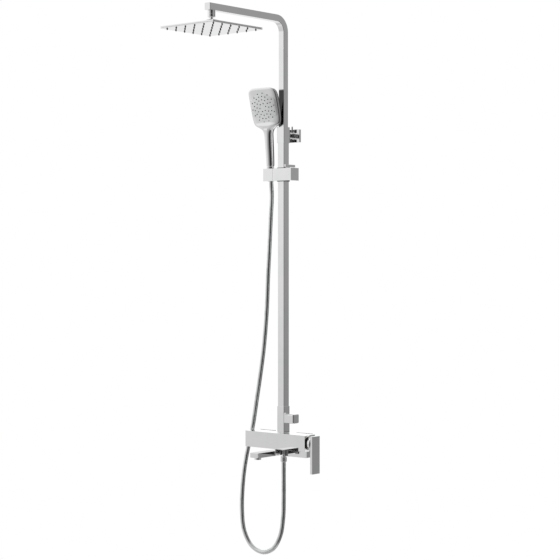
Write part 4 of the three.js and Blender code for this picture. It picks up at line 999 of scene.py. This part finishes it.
# %% The rain nozzles
RAIN_ROWS = 6
RAIN_PITCH = 37 * MM
nozzle_reach = (low.z - span("rain_nozzle_mat")[0].z) / MM + 1.0
RAIN_NOZZLE = [(0, 0.6 - nozzle_reach), (0.7, 0.6 - nozzle_reach), (0.8, -nozzle_reach), (1.3, -nozzle_reach),
               (1.6, 0.5 - nozzle_reach), (2.1, -0.7), (2.7, -0.6), (2.9, 0.0), (2.9, 0.2), (0, 0.2)]


def copies(name, pattern, places):
    """One piece made of copies of a pattern, moved to each place."""
    pieces = []
    for place in places:
        piece = bpy.data.objects.new(name, pattern.data.copy())
        piece.data.transform(place)
        bpy.context.scene.collection.objects.link(piece)
        pieces.append(piece)
    bpy.data.objects.remove(pattern)
    return join_pieces(name, pieces)


nozzle = spun("nozzle", RAIN_NOZZLE, (0, 0, 0), "Z", 14)
rows = [(index - (RAIN_ROWS - 1) / 2) * RAIN_PITCH for index in range(RAIN_ROWS)]
places = [Matrix.Translation((rain_middle.x + across, rain_middle.y + along, low.z))
          for across in rows for along in rows]
rain_nozzles = copies("rain_nozzles", nozzle, places)
smooth(rain_nozzles, 40)
finish_piece(rain_nozzles, "rain_head", "grey_silicone", "rain_nozzle_mat")

# %% [markdown]
# ## The hand shower
#
# The hand shower is one smooth moulding: a round handle that swells, through two soft
# shoulders, into a thin square head with a flat front and a domed back. It is lofted: a
# list of stations up the handle gives its half width, its front, its widest line and its
# back, and each station is one ring of a squared circle. The rings are skinned and
# subdivided once. The whole is made upright about its own axis and then leaned.

# %% Stations of the moulding
HEAD_TURN = math.radians(14.7) - SOCKET_LEAN
HEAD_FOOT = 155.3
FRONT_AT_FOOT = -10.5
RING_SIDES = 64
ROOM_AT_FOOT = -12.0  # where the front of the column stands behind the handle's axis, at its foot
CLEAR_HALF_WIDTH = 33  # the middle of the head passes beside the column and may be deeper


def head_front(height):
    """How far forward the flat of the head is, at a height up the handle."""
    return FRONT_AT_FOOT - (height - HEAD_FOOT) * math.tan(HEAD_TURN)


STATIONS = [
    # height, half width, front, widest line, back, squareness in front, squareness behind
    (26.3, 11.4, -11.4, 0, 11.4, 2.0, 2.0),
    (27.2, 12.4, -12.0, 0, 13.6, 2.0, 2.0),
    (60, 13.0, -12.3, 0, 15.0, 2.0, 2.0),
    (95, 13.4, -12.9, 0, 15.4, 2.1, 2.0),
    (122, 14.2, -13.2, 0, 15.0, 2.2, 2.0),
    (132, 15.2, -13.3, 0, 13.6, 2.3, 2.0),
    (139, 18.2, -13.5, 0, 13.6, 2.4, 2.1),
    (144, 24.0, -13.9, -0.4, 13.4, 2.6, 2.2),
    (148, 32.0, -14.3, -0.8, 13.0, 2.8, 2.3),
    (152, 41.0, -14.6, -1.0, 12.2, 2.9, 2.6),
    (156.5, 48.5, -15.0, -1.6, 11.2, 2.9, 2.8),
    (162, 53.0, head_front(167), -2.6, 10.0, 2.9, 3.0),
    (173, 55.6, head_front(175), -5.0, 8.0, 3.0, 3.2),
    (194, 56.8, head_front(194), -8.6, 5.0, 3.0, 3.4),
    (214, 57.0, head_front(214), -12.0, 1.8, 3.1, 3.4),
    (234, 57.0, head_front(234), -15.4, -1.2, 3.2, 3.6),
    (249, 56.6, head_front(249), -18.4, -3.8, 3.4, 3.6),
    (258, 55.0, head_front(258), -20.4, -7.0, 4.6, 3.2),
    (264.5, 51.6, head_front(264.5), -22.2, -10.4, 4.6, 3.0),
    (269, 46.2, head_front(267.5) + 0.3, -23.8, -14.6, 4.2, 2.8),
    (271.6, 38.0, head_front(267.5) + 1.8, -25.6, -21.2, 3.6, 2.8),
    (272.6, 33.0, head_front(267.5) + 3.4, -26.0, -23.0, 3.0, 2.8),
]


def squared(value, square):
    """A cosine or sine turned towards 1 or -1, which squares a circle off."""
    return math.copysign(abs(value) ** (2 / square), value)


def squared_circle(half_width, front, middle, back, square_front, square_back, sides, room_behind):
    """One ring of the moulding. Its outer parts stay in front of room_behind, clear of the tube."""
    ring = []
    for side in range(sides):
        angle = 2 * math.pi * side / sides
        forward = math.sin(angle) < 0
        square = square_front if forward else square_back
        reach = (middle - front) if forward else (back - middle)
        across = squared(math.cos(angle), square) * half_width
        deep = squared(math.sin(angle), square) * reach + middle
        ring.append((across, min(deep, room_behind + max(0, CLEAR_HALF_WIDTH - abs(across)))))
    return ring


leaned = Matrix.Translation(HANDSET_AXIS) @ Matrix.Rotation(SOCKET_LEAN, 4, "X")
shape = bmesh.new()
rings = []
for height, half_width, front, middle, back, square_front, square_back in STATIONS:
    room_behind = ROOM_AT_FOOT + height * math.sin(SOCKET_LEAN)
    outline = squared_circle(half_width, front, middle, back, square_front, square_back, RING_SIDES, room_behind)
    rings.append([shape.verts.new(leaned @ (Vector((x, y, height)) * MM)) for x, y in outline])
for lower, upper in zip(rings, rings[1:]):
    for side in range(RING_SIDES):
        following = (side + 1) % RING_SIDES
        shape.faces.new((lower[side], lower[following], upper[following], upper[side]))
ends = [shape.faces.new(list(reversed(rings[0]))), shape.faces.new(rings[-1])]
bmesh.ops.poke(shape, faces=ends)
hand_shower = piece_from(shape, "hand_shower")
apply_modifier(hand_shower, "SUBSURF", levels=1, render_levels=1)
smooth(hand_shower, 60)
# the hand shower's finish has painted shade on its back
finish_piece(hand_shower, "handset", "painted_shade_back_chrome", "handset_shell")

# %% [markdown]
# The spray face is a satin panel that covers nearly the whole front of the head. It is a
# squared disc, made of rings from its middle outwards, gently crowned so that its tone
# fades towards its edges, with a rim that turns back into the moulding.

# %% The spray panel
PANEL_RINGS = 14
PANEL_HALF_WIDTH = 51.0
PANEL_HALF_HEIGHT = 54.0
PANEL_MIDDLE = 211.0
PANEL_SQUARE = 4.0
PANEL_PROUD = 2.2
PANEL_CROWN = 7.0


def panel_point(across, height):
    """A point on the crowned panel, in the hand shower's own millimetres."""
    side, rise = across / PANEL_HALF_WIDTH, (height - PANEL_MIDDLE) / PANEL_HALF_HEIGHT
    out = abs(side) ** PANEL_SQUARE + abs(rise) ** PANEL_SQUARE
    radial = side ** 2 + rise ** 2
    sink = PANEL_CROWN * min(radial, 1.6) ** 1.25 * 0.5 + 0.9 * max(0.0, out - 0.75) / 0.25
    return Vector((across, head_front(height) - PANEL_PROUD + sink, height)) * MM


shape = bmesh.new()
centre_vert = shape.verts.new(leaned @ panel_point(0, PANEL_MIDDLE))
rings = []
for ring in range(1, PANEL_RINGS + 1):
    share = 1 - (1 - ring / PANEL_RINGS) ** 1.25
    verts = []
    for side in range(RING_SIDES):
        angle = 2 * math.pi * side / RING_SIDES
        across = squared(math.cos(angle), PANEL_SQUARE) * PANEL_HALF_WIDTH * share
        height = PANEL_MIDDLE + squared(math.sin(angle), PANEL_SQUARE) * PANEL_HALF_HEIGHT * share
        verts.append(shape.verts.new(leaned @ panel_point(across, height)))
    rings.append(verts)
for side in range(RING_SIDES):
    following = (side + 1) % RING_SIDES
    shape.faces.new((centre_vert, rings[0][side], rings[0][following]))
    for inner, outer in zip(rings, rings[1:]):
        shape.faces.new((inner[side], outer[side], outer[following], inner[following]))
panel = piece_from(shape, "spray_panel")
apply_modifier(panel, "SOLIDIFY", thickness=1.6 * MM, offset=-1)
smooth(panel, 60)
print("panel faces forwards", round(panel.data.polygons[0].normal.y, 2))
finish_piece(panel, "handset", "satin_spray_face", "handset_spray_face")

# %% [markdown]
# Its nozzles sit in four rings, each a small dark silicone stub with a round shoulder.

# %% The hand shower's nozzles
NOZZLE_RINGS = [(6, 12.5, 0.2), (12, 24.0, 0.0), (17, 34.5, 0.1), (14, 44.5, 0.25)]
HAND_NOZZLE = [(0, -0.4), (1.9, -0.4), (1.9, 0.1), (1.5, 0.5), (1.3, 1.2), (0.9, 1.5), (0.5, 1.5), (0.5, 0.6), (0, 0.6)]

stub = spun("stub", HAND_NOZZLE, (0, 0, 0), "Z", 12)
places = []
for count, radius, offset in NOZZLE_RINGS:
    for index in range(count):
        angle = 2 * math.pi * (index + offset) / count
        across, height = radius * math.cos(angle), PANEL_MIDDLE + radius * math.sin(angle)
        spot = leaned @ panel_point(across, height)
        outwards = Vector((0.06 * across / radius, -math.cos(HEAD_TURN), -math.sin(HEAD_TURN)))
        facing = (leaned.to_3x3() @ outwards).normalized()
        places.append(Matrix.Translation(spot) @ facing.to_track_quat("Z", "Y").to_matrix().to_4x4())
hand_nozzles = copies("hand_nozzles", stub, places)
smooth(hand_nozzles, 40)
finish_piece(hand_nozzles, "handset", "grey_silicone")

# %% [markdown]
# The spray button is a small pillow set in the front of the neck, moved by the thumb.

# %% The spray button
low, high = span("spray_selector_button")
button = add_box("spray_button", low + Vector((0, 1.2, 1)) * MM, high - Vector((0, 0.4, 1)) * MM)
round_edges(button, runs_along(1), 4 * MM, 6)
round_edges(button, lambda edge: max(vert.co.y for vert in edge.verts) < low.y + 1.3 * MM, 1.2 * MM, 4)
soften(button, width=0.2 * MM, sharp=35)
finish_piece(button, "selector_button", "polished_chrome", "spray_selector_button")

# %% [markdown]
# ## The wall bracket
#
# A square sleeve hides the joint between the two tubes. A round rod runs back from it into
# a post on the wall plate, where a thin screw from above locks it.

# %% The sleeve and its rod
low, high = span("bracket_sleeve")
lower_low, lower_high = span("riser_lower_tube")
sleeve_side = high.x - low.x
sleeve = add_box("bracket_block", low, (high.x, low.y + sleeve_side, high.z))
round_edges(sleeve, runs_along(2), TUBE_CORNER, 5)
sleeve_middle = Vector((column_x, column_y, 0))


def square_cutter(side, foot, top):
    half = Vector((side / 2, side / 2, 0))
    cutter = add_box("cutter", sleeve_middle - half + Vector((0, 0, foot)), sleeve_middle + half + Vector((0, 0, top)))
    round_edges(cutter, runs_along(2), TUBE_CORNER, 5)
    return cutter


carve(sleeve, square_cutter(lower_high.x - lower_low.x + 0.4 * MM, low.z - MM, lower_high.z + 1.4 * MM))
carve(sleeve, square_cutter(upper_side + 0.4 * MM, low.z, high.z + MM))
soften(sleeve, width=0.5 * MM, sharp=35)
plate_low, plate_high = span("wall_flange")
rod_height = (plate_low.z + plate_high.z) / 2
rod_reach = (-10 * MM - (low.y + sleeve_side)) / MM
rod = spun("rod", [(0, -1), (8.6, -1), (8.6, 0.8), (8.2, 1.2), (7, 1.4), (7, rod_reach), (0, rod_reach)],
           (column_x, low.y + sleeve_side, rod_height), "Y", 64)
soften(rod, width=0.15 * MM, segments=2, sharp=30)
sleeve = join_pieces("bracket_block", [sleeve, rod])
# the bracket's rod takes painted shade near the wall
finish_piece(sleeve, "column", "shaded_chrome", "bracket_sleeve")

# %% The wall plate, its post and its screws
wall_plate = add_box("wall_plate_top", (plate_low.x, -8 * MM, plate_low.z), plate_high)
round_edges(wall_plate, runs_along(1), 1.5 * MM, 4)
soften(wall_plate, width=0.7 * MM, sharp=35)
post = spun("post", [(7.3, -24), (9.9, -24), (10.5, -23.4), (10.5, -9.4), (11.2, -8.4), (11.6, -7.6),
                     (7.3, -7.6), (7.3, -24)], (column_x, 0, rod_height), "Y", 64)
soften(post, width=0.15 * MM, segments=2, sharp=30)
wall_plate = join_pieces("wall_plate_top", [wall_plate, post])
finish_piece(wall_plate, "column", "polished_chrome", "wall_flange")

turned_piece("lock_screw", "bracket_set_screw", "column", [
    (0, 0), (1.6, 0), (2.2, 0.6), (2.2, 21.6), (1.8, 22), (1.1, 22), (1.1, 20), (0, 20)],
    finish="stainless_steel", steps=24, edge=0.1, segments=1)
for number in (1, 2):
    turned_piece(f"plate_screw_{number}", f"wall_screw_{number}", "column", [
        (0, 0.9), (1.2, 0.9), (1.3, 0), (2.6, 0), (3.8, 0.8), (3.8, 1.7), (2.2, 1.7), (2.2, 9.4), (0, 9.4)],
        axis="Y", finish="stainless_steel", steps=32, edge=0.1, segments=1)

# %% [markdown]
# ## The diverter knob
#
# The knob is a square bar with round corners and a softly rounded face.

# %% The knob
low, high = span("diverter_knob")
knob = add_box("diverter_grip", low, high)
round_edges(knob, runs_along(0), 4 * MM, 8)
round_edges(knob, lambda edge: min(vert.co.x for vert in edge.verts) > high.x - 0.01 * MM, 3.6 * MM, 8)
soften(knob, width=0.4 * MM, sharp=35)
finish_piece(knob, "diverter", "polished_chrome", "diverter_knob")

# %% [markdown]
# ## Last step


print("done")
